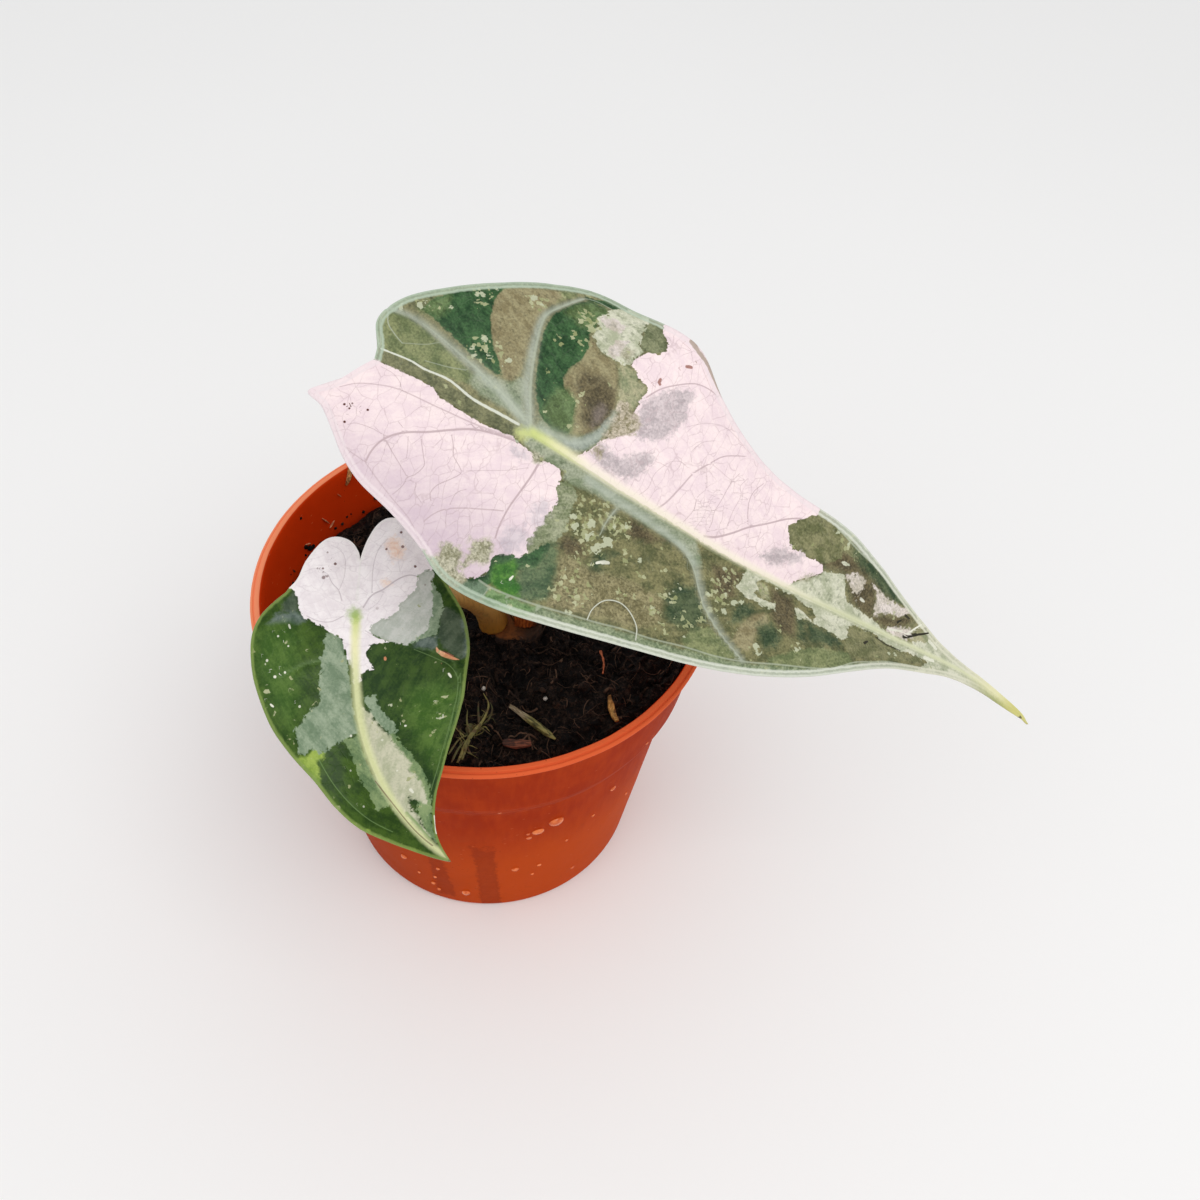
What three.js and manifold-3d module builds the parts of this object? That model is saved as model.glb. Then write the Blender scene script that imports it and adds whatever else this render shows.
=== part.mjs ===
// A young potted alocasia: two peltate leaves on their stems, in a 9 cm nursery pot of potting mix.
// Millimetres, +Z up. The pot's axis is Z and its underside lies on z = 0.
// +X is the side that the large leaf's drip tip points to, and -Y is the front.

import * as THREE from 'three'
import { mergeVertices } from 'three/addons/utils/BufferGeometryUtils.js'
import Module from 'manifold-3d'

const wasm = await Module()
wasm.setup()

// Driving dimensions
const CLEARANCE = 0.3

const POT_HEIGHT = 76
const POT_RIM_RADIUS = 45
const POT_RIM_WIDTH = 2
const POT_COLLAR_HEIGHT = 18
const POT_COLLAR_FOOT_RADIUS = 41.9
const POT_BODY_TOP_RADIUS = 39.4
const POT_BASE_RADIUS = 33.3
const POT_WALL = 1
const POT_FLOOR = 1.4
const DRAIN_RADIUS = 3
const DRAIN_CIRCLE = 24
const DRAIN_COUNT = 8

const SOIL_LEVEL = 64

const STOCK_CENTRE = [5.5, -1]
const STOCK_RADIUS = 6.8
const STOCK_TOP = 66
const STOCK_BOTTOM = 40

const BLADE_THICKNESS = 0.75
const RIB_WIDTH = 1.2

const LARGE_BASE = [7.6, 0.2]
const LARGE_BASE_RADIUS = 3.2
const SMALL_BASE = [1.6, -3.2]
const SMALL_BASE_RADIUS = 2.3

// Small helpers
const vector = (values) => new THREE.Vector3(...values)
const degrees = (angle) => THREE.MathUtils.degToRad(angle)
const clamp = THREE.MathUtils.clamp

// Collects triangles, joins equal corners and leaves out triangles that collapse to a line.
class Surface {
  constructor() {
    this.positions = []
    this.indices = []
    this.known = new Map()
  }

  corner(point) {
    const key = point.toArray().map((value) => Math.round(value * 2000)).join(',')
    if (!this.known.has(key)) {
      this.known.set(key, this.positions.length / 3)
      this.positions.push(point.x, point.y, point.z)
    }
    return this.known.get(key)
  }

  triangle(a, b, c) {
    const corners = [this.corner(a), this.corner(b), this.corner(c)]
    if (new Set(corners).size === 3) this.indices.push(...corners)
  }

  quad(a, b, c, d) {
    this.triangle(a, b, c)
    this.triangle(a, c, d)
  }

  geometry() {
    const geometry = new THREE.BufferGeometry()
    geometry.setAttribute('position', new THREE.Float32BufferAttribute(this.positions, 3))
    geometry.setIndex(this.indices)
    return geometry
  }
}

// Closes rows of equal point rings into one tube, with a fan over each end.
function closedTube(rings) {
  const surface = new Surface()
  const count = rings[0].length
  for (let row = 0; row < rings.length - 1; row += 1) {
    for (let side = 0; side < count; side += 1) {
      const next = (side + 1) % count
      surface.quad(rings[row][side], rings[row][next], rings[row + 1][next], rings[row + 1][side])
    }
  }
  const first = rings[0]
  const last = rings[rings.length - 1]
  const centre = (ring) => ring.reduce((sum, point) => sum.add(point), new THREE.Vector3())
    .divideScalar(count)
  for (let side = 0; side < count; side += 1) {
    const next = (side + 1) % count
    surface.triangle(centre(first), first[next], first[side])
    surface.triangle(centre(last), last[side], last[next])
  }
  return surface.geometry()
}

// A round tube along a smooth path; radiusAt(0..1) sets its radius and flatten its oval.
function taperedTube(points, radiusAt, sides, steps, flatten = 1) {
  const path = new THREE.CatmullRomCurve3(points.map(vector), false, 'catmullrom', 0.5)
  const frames = path.computeFrenetFrames(steps, false)
  const rings = []
  for (let step = 0; step <= steps; step += 1) {
    const along = step / steps
    const centre = path.getPointAt(along)
    const radius = radiusAt(along)
    const ring = []
    for (let side = 0; side < sides; side += 1) {
      const angle = 2 * Math.PI * side / sides
      const across = frames.normals[step].clone().multiplyScalar(radius * Math.cos(angle))
      const upward = frames.binormals[step].clone().multiplyScalar(radius * flatten * Math.sin(angle))
      ring.push(centre.clone().add(across).add(upward))
    }
    rings.push(ring)
  }
  return closedTube(rings)
}

// A solid of revolution about Z from a profile of [radius, height] that starts and ends on the axis.
function turned(profile, segments) {
  const points = profile.map(([radius, height]) => new THREE.Vector2(radius, height))
  return new THREE.LatheGeometry(points, segments).rotateX(Math.PI / 2)
}

function toSolid(geometry) {
  const bare = geometry.clone()
  bare.deleteAttribute('normal')
  bare.deleteAttribute('uv')
  const merged = mergeVertices(bare, 1e-4)
  const surface = new Surface()
  const position = merged.getAttribute('position')
  const corner = (index) => new THREE.Vector3().fromBufferAttribute(position, merged.index.getX(index))
  for (let index = 0; index < merged.index.count; index += 3) {
    surface.triangle(corner(index), corner(index + 1), corner(index + 2))
  }
  const clean = surface.geometry()
  return new wasm.Manifold(new wasm.Mesh({
    numProp: 3,
    vertProperties: new Float32Array(clean.getAttribute('position').array),
    triVerts: new Uint32Array(clean.index.array),
  }))
}

function toGeometry(solid) {
  const mesh = solid.getMesh()
  const geometry = new THREE.BufferGeometry()
  geometry.setAttribute('position', new THREE.BufferAttribute(new Float32Array(mesh.vertProperties), 3))
  geometry.setIndex(new THREE.BufferAttribute(new Uint32Array(mesh.triVerts), 1))
  return geometry
}

const plant = new THREE.Group()

function addPart(name, geometry, material) {
  geometry.computeVertexNormals()
  const mesh = new THREE.Mesh(geometry, material)
  mesh.name = name
  plant.add(mesh)
  return mesh
}

const finish = (color, roughness) => new THREE.MeshStandardMaterial({ color, roughness, metalness: 0 })

const materials = {
  pot: finish(0xb5532b, 0.5),
  soil: finish(0x2a201b, 0.95),
  stock: finish(0x6b4a2c, 0.8),
  blade: finish(0x7d9478, 0.35),
  stem: finish(0xb79a55, 0.5),
  sheath: finish(0xa8622c, 0.7),
  straw: finish(0x7a7142, 0.8),
  grass: finish(0x5f6a34, 0.8),
  bark: finish(0x6d3a28, 0.9),
  husk: finish(0xa8844e, 0.85),
}

// The pot: a thin tapered body, a collar with a soft step below it, a flat rim and a drained floor
const collarFoot = POT_HEIGHT - POT_COLLAR_HEIGHT
const stepFoot = collarFoot - 5
const rimInner = POT_RIM_RADIUS - POT_RIM_WIDTH
const lipFoot = POT_HEIGHT - 1.6

const innerWall = [
  [rimInner, POT_HEIGHT - 0.4],
  [rimInner - 0.3, POT_HEIGHT - 2],
  [POT_COLLAR_FOOT_RADIUS - POT_WALL, collarFoot + 0.6],
  [POT_COLLAR_FOOT_RADIUS - POT_WALL - 0.6, collarFoot - 1],
  [POT_BODY_TOP_RADIUS - POT_WALL + 0.2, stepFoot + 0.5],
  [POT_BODY_TOP_RADIUS - POT_WALL, stepFoot - 0.5],
  [POT_BASE_RADIUS - POT_WALL + 0.1, POT_FLOOR + 1],
  [POT_BASE_RADIUS - POT_WALL - 0.8, POT_FLOOR],
]

const potProfile = [
  [0, 0],
  [POT_BASE_RADIUS - 1, 0],
  [POT_BASE_RADIUS, 1],
  [POT_BODY_TOP_RADIUS, stepFoot - 0.5],
  [POT_BODY_TOP_RADIUS + 0.3, stepFoot + 0.5],
  [POT_COLLAR_FOOT_RADIUS - 0.5, collarFoot - 1],
  [POT_COLLAR_FOOT_RADIUS, collarFoot + 0.6],
  [POT_RIM_RADIUS - 1.1, lipFoot],
  [POT_RIM_RADIUS - 0.3, lipFoot + 0.2],
  [POT_RIM_RADIUS, lipFoot + 0.6],
  [POT_RIM_RADIUS, POT_HEIGHT - 0.4],
  [POT_RIM_RADIUS - 0.4, POT_HEIGHT],
  [rimInner + 0.4, POT_HEIGHT],
  ...innerWall,
  [0, POT_FLOOR],
]

const POT_SEGMENTS = 64
let pot = toSolid(turned(potProfile, POT_SEGMENTS))
for (let hole = 0; hole < DRAIN_COUNT; hole += 1) {
  const angle = 2 * Math.PI * (hole + 0.5) / DRAIN_COUNT
  const drill = new THREE.CylinderGeometry(DRAIN_RADIUS, DRAIN_RADIUS, 4 * POT_FLOOR, 16)
    .rotateX(Math.PI / 2)
    .translate(DRAIN_CIRCLE * Math.cos(angle), DRAIN_CIRCLE * Math.sin(angle), 0)
  pot = pot.subtract(toSolid(drill))
}
addPart('pot', toGeometry(pot), materials.pot)

// The soil: a plug that fills the pot with a crumbly top and a plain hole for the rootstock
function soilHeight(x, y) {
  const radius = Math.hypot(x, y)
  const swell = 0.6 * Math.sin(0.17 * x + 0.9) * Math.cos(0.15 * y - 0.4)
  const lumps = 0.4 * Math.sin(0.55 * x + 0.37 * y + 1.1) + 0.3 * Math.sin(0.93 * x - 0.71 * y + 2.3)
  const crumbs = 0.2 * Math.sin(1.9 * x + 0.6) * Math.sin(2.1 * y + 1.7)
  const mound = 0.8 * Math.exp(-((x - STOCK_CENTRE[0]) ** 2 + (y - STOCK_CENTRE[1]) ** 2) / 90)
  const hollow = -0.8 * clamp((radius - 33) / 8, 0, 1)
  return SOIL_LEVEL + swell + lumps + crumbs + mound + hollow
}

function soilGeometry(sectors, rings) {
  const edge = innerWall.slice(2).reverse().map(([radius, height]) => [radius - CLEARANCE, height])
  edge[0][1] += CLEARANCE
  const edgeTop = rimInner - 2.3
  const surface = new Surface()
  const onCircle = (radius, height, sector) => {
    const angle = 2 * Math.PI * sector / sectors
    return new THREE.Vector3(radius * Math.cos(angle), radius * Math.sin(angle), height)
  }
  const onTop = (ring, sector) => {
    const point = onCircle(edgeTop * Math.sqrt(ring / rings), 0, sector)
    return point.setZ(soilHeight(point.x, point.y))
  }
  const floorCentre = new THREE.Vector3(0, 0, edge[0][1])
  for (let sector = 0; sector < sectors; sector += 1) {
    const next = sector + 1
    surface.triangle(floorCentre, onCircle(...edge[0], next), onCircle(...edge[0], sector))
    for (let row = 0; row < edge.length - 1; row += 1) {
      surface.quad(
        onCircle(...edge[row], sector), onCircle(...edge[row], next),
        onCircle(...edge[row + 1], next), onCircle(...edge[row + 1], sector),
      )
    }
    const shoulder = edge[edge.length - 1]
    surface.quad(
      onCircle(...shoulder, sector), onCircle(...shoulder, next),
      onTop(rings, next), onTop(rings, sector),
    )
    for (let ring = 1; ring < rings; ring += 1) {
      surface.quad(
        onTop(ring + 1, sector), onTop(ring + 1, next),
        onTop(ring, next), onTop(ring, sector),
      )
    }
    surface.triangle(onTop(0, 0), onTop(1, sector), onTop(1, next))
  }
  return surface.geometry()
}

const SOIL_SECTORS = 52
const SOIL_RINGS = 13
const holeRadius = STOCK_RADIUS + CLEARANCE + 0.15
const holeFloor = STOCK_BOTTOM - CLEARANCE
const stockHole = new THREE.CylinderGeometry(holeRadius, holeRadius, SOIL_LEVEL, 28)
  .rotateX(Math.PI / 2)
  .translate(...STOCK_CENTRE, holeFloor + SOIL_LEVEL / 2)
const soil = toSolid(soilGeometry(SOIL_SECTORS, SOIL_RINGS)).subtract(toSolid(stockHole))
addPart('soil', toGeometry(soil), materials.soil)

// The rootstock: a short ringed stem that stands in the soil and carries both leaf stems
function stockGeometry() {
  const sides = 18
  const profile = [
    [0.45, STOCK_BOTTOM], [0.72, STOCK_BOTTOM + 2], [0.9, STOCK_BOTTOM + 8], [0.96, STOCK_BOTTOM + 11],
    [0.9, STOCK_BOTTOM + 12.5], [1, STOCK_BOTTOM + 17], [0.94, STOCK_BOTTOM + 19.5],
    [1, STOCK_TOP - 3], [0.98, STOCK_TOP - 0.9], [0.9, STOCK_TOP],
  ]
  const rings = profile.map(([share, height]) => Array.from({ length: sides }, (_, side) => {
    const angle = 2 * Math.PI * side / sides
    const wobble = 1 - 0.04 * (1 + Math.sin(3 * angle + height * 0.2))
    const radius = STOCK_RADIUS * share * wobble
    return new THREE.Vector3(
      STOCK_CENTRE[0] + radius * Math.cos(angle), STOCK_CENTRE[1] + radius * Math.sin(angle), height,
    )
  }))
  return closedTube(rings)
}
addPart('rootstock', stockGeometry(), materials.stock)

// A leaf blade is drawn in its own plane: s runs along the midrib from the stem's seat, t across it.
// Each half fans out from the midrib to its half of the outline, from the notch to the drip tip.
const largeBlade = {
  name: 'blade_large',
  midrib: [
    [-28, -9.5, 140.5], [-9.5, -12, 134.5], [9, -15, 127], [26.5, -18.5, 118], [44, -21, 108.5],
    [61.5, -21.5, 99.5], [79, -20.5, 89.5], [91.5, -19, 81], [104, -17, 69.5], [107, -16.5, 66],
  ],
  seatIndex: 2,
  roll: 22,
  notch: -24.7,
  tip: 117.5,
  farHalf: [
    [-24.7, 0], [-25.2, 2.4], [-26.6, 5.4], [-26, 8.3], [-23.4, 12], [-18.5, 16.2], [-12, 21.2],
    [-6, 25.6], [0, 29], [6.5, 28.5], [13, 28.2], [19, 26.8], [24.2, 23], [30, 20.3], [38, 17.3],
    [47, 15], [55, 13.6], [63, 11.4], [71, 8.5], [78, 5.4], [85, 3], [93, 1.7], [104, 1.1],
    [112, 0.7], [117.5, 0],
  ],
  nearHalf: [
    [-24.7, 0], [-26.2, -2.3], [-28.4, -6], [-31.2, -9], [-28.6, -10.4], [-26, -13], [-22.8, -16.3],
    [-18.8, -18.9], [-13, -21], [-7, -23.5], [-2.5, -25.8], [2.5, -26.5], [9.5, -26], [18, -24.3],
    [27, -22.4], [37, -20], [47, -16.9], [56, -13.4], [64, -9.4], [72, -5.9], [80, -3.8],
    [88, -1.9], [98, -1.1], [109, -0.7], [117.5, 0],
  ],
  ribDepth: 2.2,
  fold(s, t) {
    const reach = Math.abs(t)
    const halfWidth = 28 * clamp((118 - s) / 100, 0.12, 1)
    const nearMargin = Math.min(1.2, reach / halfWidth) ** 3
    const valley = 0.14 + 0.004 * clamp(s, 0, 80)
    const wave = t > 0
      ? 2 * Math.cos(2 * Math.PI * (s - 18) / 39)
      : 1.4 * Math.cos(2 * Math.PI * (s - 30) / 46)
    const calm = clamp((118 - s) / 60, 0.1, 1)
    return valley * (Math.hypot(reach, 2) - 2) - 0.0045 * reach ** 2 + wave * calm * nearMargin
  },
}

const smallBlade = {
  name: 'blade_small',
  midrib: [
    [-18.5, -11.5, 103.5], [-18, -20, 100.5], [-17.5, -28.3, 97], [-16.3, -37.2, 92.5],
    [-14, -45.5, 87.5], [-9.5, -52.3, 81.7], [-3.2, -56.9, 75.5], [3.7, -58.4, 68.4],
  ],
  seatIndex: 2,
  roll: 0,
  notch: -9.1,
  tip: 47.3,
  farHalf: [
    [-9.1, 0], [-11, 0.35], [-13.2, 1], [-15.6, 2.2], [-16.9, 4], [-16.6, 6.3], [-14.6, 9],
    [-11.2, 11.4], [-7.4, 13.6], [-4, 15.8], [-0.8, 17.5], [3, 18.5], [7.5, 18.8], [12.5, 18],
    [18, 16.9], [23.5, 15.2], [28.7, 12.6], [32.6, 9.9], [36, 6.5], [39.5, 3.7], [43.2, 1.7],
    [47.3, 0],
  ],
  nearHalf: [
    [-9.1, 0], [-10.6, -0.4], [-12.3, -1.7], [-13, -3.7], [-12.6, -5.6], [-11, -7.2], [-8.2, -8.8],
    [-5.2, -9.7], [-3.6, -10.8], [-1.5, -13], [0.8, -14.9], [3.8, -16], [7.6, -16], [12, -15.2],
    [16.5, -13.6], [20.5, -11.2], [24.5, -9.1], [28.6, -8], [32.5, -6.7], [36.6, -4.4],
    [41, -2.2], [47.3, 0],
  ],
  ribDepth: 1.3,
  fold(s, t) {
    const reach = Math.abs(t)
    const halfWidth = 19 * clamp((52 - s) / 45, 0.15, 1)
    const nearMargin = Math.min(1.2, reach / halfWidth) ** 3
    const steeper = t > 0 ? 0.008 : 0.003
    const valley = 0.16 + steeper * clamp(s, 0, 45)
    const wave = t > 0
      ? Math.cos(2 * Math.PI * (s - 14) / 30)
      : Math.cos(2 * Math.PI * (s - 4) / 28)
    const calm = clamp((52 - s) / 30, 0.1, 1)
    return valley * (Math.hypot(reach, 1.4) - 1.4) - 0.008 * reach ** 2 + wave * calm * nearMargin
  },
}

const MIDRIB_SAMPLES = 40

// Gives the place of a point of a blade: s along, t across, depth below the upper face.
function bladeFrame(blade) {
  const curve = new THREE.CatmullRomCurve3(blade.midrib.map(vector), false, 'catmullrom', 0.5)
  const stations = curve.getPoints(MIDRIB_SAMPLES * (blade.midrib.length - 1))
  const lengths = [0]
  for (let index = 1; index < stations.length; index += 1) {
    lengths.push(lengths[index - 1] + stations[index].distanceTo(stations[index - 1]))
  }
  const seatLength = lengths[MIDRIB_SAMPLES * blade.seatIndex]
  const axesAt = (s) => {
    const wanted = clamp(s + seatLength, 0, lengths[lengths.length - 1])
    let index = 1
    while (index < lengths.length - 1 && lengths[index] < wanted) index += 1
    const share = (wanted - lengths[index - 1]) / (lengths[index] - lengths[index - 1])
    const beyond = s + seatLength - wanted
    const along = stations[index].clone().sub(stations[index - 1]).normalize()
    const centre = stations[index - 1].clone().lerp(stations[index], share).addScaledVector(along, beyond)
    const level = new THREE.Vector3(-along.y, along.x, 0).normalize()
    const upright = along.clone().cross(level)
    const roll = degrees(blade.roll)
    const across = level.multiplyScalar(Math.cos(roll)).addScaledVector(upright, Math.sin(roll))
    const normal = along.clone().cross(across)
    return { centre, across, normal }
  }
  const place = (s, t, depth = 0) => {
    const { centre, across, normal } = axesAt(s)
    return centre.addScaledVector(across, t).addScaledVector(normal, blade.fold(s, t) - depth)
  }
  return { axesAt, place }
}

const ACROSS_SHARES = [0, 0.06, 0.15, 0.3, 0.46, 0.64, 0.82, 1]
const OUTLINE_STEPS = 2
const FAN = 1.5

// Shares of a smooth outline's length at its stations, from 0 at the notch to 1 at the tip
function lengthShares(outline) {
  const lengths = [0]
  for (let index = 1; index < outline.length; index += 1) {
    lengths.push(lengths[index - 1] + outline[index].distanceTo(outline[index - 1]))
  }
  return lengths.map((length) => length / lengths[lengths.length - 1])
}

function bladeGeometry(blade) {
  const { place } = bladeFrame(blade)
  const surface = new Surface()
  const depthAt = (s, t) => {
    const fade = s < 0 ? clamp(1 + s / 12, 0, 1) : clamp((blade.tip - s) / blade.tip, 0, 1)
    return BLADE_THICKNESS + blade.ribDepth * fade * Math.exp(-((t / RIB_WIDTH) ** 2))
  }
  const outlines = [blade.farHalf, blade.nearHalf].map((half) => new THREE.CatmullRomCurve3(
    half.map(([s, t]) => new THREE.Vector3(s, t, 0)), false, 'catmullrom', 0.5,
  ).getPoints(OUTLINE_STEPS * (half.length - 1)))
  const [farShares, nearShares] = outlines.map(lengthShares)
  outlines.forEach((outline, half) => {
    const rows = outline.map((edge, index) => {
      const share = ((farShares[index] + nearShares[index]) / 2) ** FAN
      const root = blade.notch + (blade.tip - blade.notch) * share
      return ACROSS_SHARES.map((across) => {
        const s = THREE.MathUtils.lerp(root, edge.x, across)
        const t = THREE.MathUtils.lerp(0, edge.y, across)
        return { top: place(s, t), bottom: place(s, t, depthAt(s, t)) }
      })
    })
    const quad = (a, b, c, d) => (half === 0 ? surface.quad(a, b, c, d) : surface.quad(a, d, c, b))
    const last = ACROSS_SHARES.length - 1
    for (let row = 0; row < rows.length - 1; row += 1) {
      const here = rows[row]
      const next = rows[row + 1]
      for (let column = 0; column < last; column += 1) {
        quad(here[column].top, next[column].top, next[column + 1].top, here[column + 1].top)
        quad(here[column].bottom, here[column + 1].bottom, next[column + 1].bottom, next[column].bottom)
      }
      quad(here[last].top, next[last].top, next[last].bottom, here[last].bottom)
    }
  })
  return surface.geometry()
}

for (const blade of [largeBlade, smallBlade]) {
  addPart(blade.name, bladeGeometry(blade), materials.blade)
}

// Leaf stems: each rises from the rootstock and ends square under its blade's midrib
function stemPath(blade, lowerPoints, straightEnd) {
  const { axesAt, place } = bladeFrame(blade)
  const depth = BLADE_THICKNESS + blade.ribDepth + CLEARANCE
  const seat = place(0, 0, depth)
  const below = seat.clone().addScaledVector(axesAt(0).normal, -straightEnd)
  return [...lowerPoints, below.toArray(), seat.toArray()]
}

const stemFoot = STOCK_TOP + CLEARANCE

const largeStemPath = stemPath(largeBlade, [
  [...LARGE_BASE, stemFoot], [...LARGE_BASE, stemFoot + 4], [7.7, 0.8, 80], [6.9, -0.6, 94.5],
  [5.9, -5.4, 107.5],
], 6)
const largeStemRadius = (along) => 1.9 + (LARGE_BASE_RADIUS - 1.9) * Math.exp(-along * 7)
addPart('stem_large', taperedTube(largeStemPath, largeStemRadius, 12, 26), materials.stem)

const smallStemPath = stemPath(smallBlade, [
  [...SMALL_BASE, stemFoot], [1.3, -3.5, stemFoot + 3], [-1.3, -7, 77.6], [-6.6, -13.6, 86],
  [-13, -21.4, 90.8],
], 2.4)
const smallStemRadius = (along) => 1.15 + (SMALL_BASE_RADIUS - 1.15) * Math.exp(-along * 4)
addPart('stem_small', taperedTube(smallStemPath, smallStemRadius, 10, 22), materials.stem)

// The dry sheath: a papery brown collar, torn at its top, part way round the large stem's foot
function sheathGeometry() {
  const inner = LARGE_BASE_RADIUS + CLEARANCE + 0.1
  const thickness = 0.7
  const from = degrees(-112)
  const to = degrees(72)
  const angularSteps = 14
  const rows = 5
  const corner = (step, row, outward) => {
    const angle = from + (to - from) * step / angularSteps
    const middle = Math.sin(Math.PI * step / angularSteps)
    const torn = 1.6 * Math.sin(3.1 * step) * middle
    const height = (3.5 + 6.5 * middle + torn) * row / rows
    const flare = 1 + 0.02 * row
    const radius = (inner + (outward ? thickness : 0)) * flare
    return new THREE.Vector3(
      LARGE_BASE[0] + radius * Math.cos(angle), LARGE_BASE[1] + radius * Math.sin(angle), stemFoot + height,
    )
  }
  const surface = new Surface()
  for (let step = 0; step < angularSteps; step += 1) {
    for (let row = 0; row < rows; row += 1) {
      surface.quad(
        corner(step, row, true), corner(step + 1, row, true),
        corner(step + 1, row + 1, true), corner(step, row + 1, true),
      )
      surface.quad(
        corner(step, row, false), corner(step, row + 1, false),
        corner(step + 1, row + 1, false), corner(step + 1, row, false),
      )
    }
    surface.quad(
      corner(step, rows, true), corner(step + 1, rows, true),
      corner(step + 1, rows, false), corner(step, rows, false),
    )
    surface.quad(
      corner(step, 0, false), corner(step + 1, 0, false),
      corner(step + 1, 0, true), corner(step, 0, true),
    )
  }
  for (let row = 0; row < rows; row += 1) {
    surface.quad(corner(0, row, false), corner(0, row, true), corner(0, row + 1, true), corner(0, row + 1, false))
    surface.quad(
      corner(angularSteps, row, true), corner(angularSteps, row, false),
      corner(angularSteps, row + 1, false), corner(angularSteps, row + 1, true),
    )
  }
  return surface.geometry()
}
addPart('dry_sheath', sheathGeometry(), materials.sheath)

// Litter that lies on the soil: each piece rests on the highest ground under it
function groundUnder(points, reach) {
  let highest = -Infinity
  for (const [x, y] of points) {
    for (const [dx, dy] of [[0, 0], [reach, 0], [-reach, 0], [0, reach], [0, -reach]]) {
      highest = Math.max(highest, soilHeight(x + dx, y + dy))
    }
  }
  return highest
}

function between(start, end, count) {
  return Array.from({ length: count }, (_, index) => {
    const share = index / (count - 1)
    return start.map((value, axis) => value + (end[axis] - value) * share)
  })
}

function lyingRod(start, end, radius, sides, bow = 0) {
  const steps = 6
  const flat = between(start, end, steps)
  const height = groundUnder(flat, radius) + radius + CLEARANCE
  const points = flat.map(([x, y], index) => {
    const share = index / (steps - 1)
    return [x + bow * Math.sin(Math.PI * share), y, height]
  })
  return taperedTube(points, (along) => radius * (1 - 0.25 * along), sides, 6)
}

addPart('straw_stalk', lyingRod([7.2, -22.2], [17.4, -29], 1.1, 8), materials.straw)
addPart('twig', lyingRod([23.6, -7.6], [24.4, -13.2], 0.5, 6, 0.4), materials.bark)

// A flat chip or husk: a bevelled sliver, turned about Z, that rests on the ground or leans on it
function sliver(centre, length, width, thickness, turn, curl) {
  const steps = 6
  const rings = []
  const cosine = Math.cos(degrees(turn))
  const sine = Math.sin(degrees(turn))
  const footprint = between([-length / 2, 0], [length / 2, 0], 5)
    .map(([along]) => [centre[0] + along * cosine, centre[1] + along * sine])
  const ground = groundUnder(footprint, width / 2) + CLEARANCE
  for (let step = 0; step <= steps; step += 1) {
    const share = step / steps
    const along = (share - 0.5) * length
    const taper = 0.35 + 0.65 * Math.sin(Math.PI * (0.12 + 0.76 * share))
    const rise = ground + curl * (2 * share - 1) ** 2
    const section = [[-1, 0], [1, 0], [0.8, 1], [-0.7, 1]]
    rings.push(section.map(([side, up]) => {
      const across = side * taper * width / 2
      return new THREE.Vector3(
        centre[0] + along * cosine - across * sine,
        centre[1] + along * sine + across * cosine,
        rise + up * thickness * (0.8 + 0.2 * taper),
      )
    }))
  }
  return closedTube(rings)
}

addPart('bark_chip', sliver([9.8, -31.4], 6, 2.6, 1.1, 6, 0.4), materials.bark)
addPart('husk', sliver([27.4, -23.4], 6.5, 1.8, 0.9, 100, 1.4), materials.husk)

// The grass tuft: bent seedling blades that fan out of one small crown on the soil
const TUFT_CENTRE = [0.6, -28.4]
const TUFT_BLADES = [
  { turn: 78, length: 8.5, lift: 2.8 },
  { turn: 112, length: 7, lift: 2.2 },
  { turn: 48, length: 7.5, lift: 3.2 },
  { turn: 160, length: 5, lift: 1.4 },
  { turn: 262, length: 6.5, lift: 1.2 },
  { turn: 300, length: 5, lift: 1.6 },
  { turn: 10, length: 5.5, lift: 1.8 },
]

function tuftGeometry() {
  const crownRadius = 1.5
  const ground = groundUnder([TUFT_CENTRE], crownRadius) + CLEARANCE
  const crown = new THREE.SphereGeometry(crownRadius, 10, 6)
    .scale(1, 1, 0.7)
    .translate(...TUFT_CENTRE, ground + 0.7 * crownRadius)
  let tuft = toSolid(crown)
  for (const { turn, length, lift } of TUFT_BLADES) {
    const cosine = Math.cos(degrees(turn))
    const sine = Math.sin(degrees(turn))
    const points = [0.02, 0.35, 0.7, 1].map((share) => {
      const x = TUFT_CENTRE[0] + length * share * cosine
      const y = TUFT_CENTRE[1] + length * share * sine
      const floor = groundUnder([[x, y]], 1) + CLEARANCE
      return [x, y, Math.max(ground, floor) + 0.9 + lift * Math.sin(Math.PI * 0.75 * share)]
    })
    const radiusAt = (along) => 0.62 - 0.26 * along
    tuft = tuft.add(toSolid(taperedTube(points, radiusAt, 6, 6, 0.9)))
  }
  return toGeometry(tuft)
}
addPart('grass_tuft', tuftGeometry(), materials.grass)

export default plant
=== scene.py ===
# The looks of a young potted alocasia: two variegated leaves on their stems in a nursery pot.
# Sizes are millimetres in the frame's own axes, and each mesh becomes metres when it is made.
# A leaf is drawn in its own plane: s runs along the midrib from the stem's seat, t runs across it.

import itertools
import math

import bmesh
import bpy
import numpy as np
from mathutils import Matrix, Vector


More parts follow.
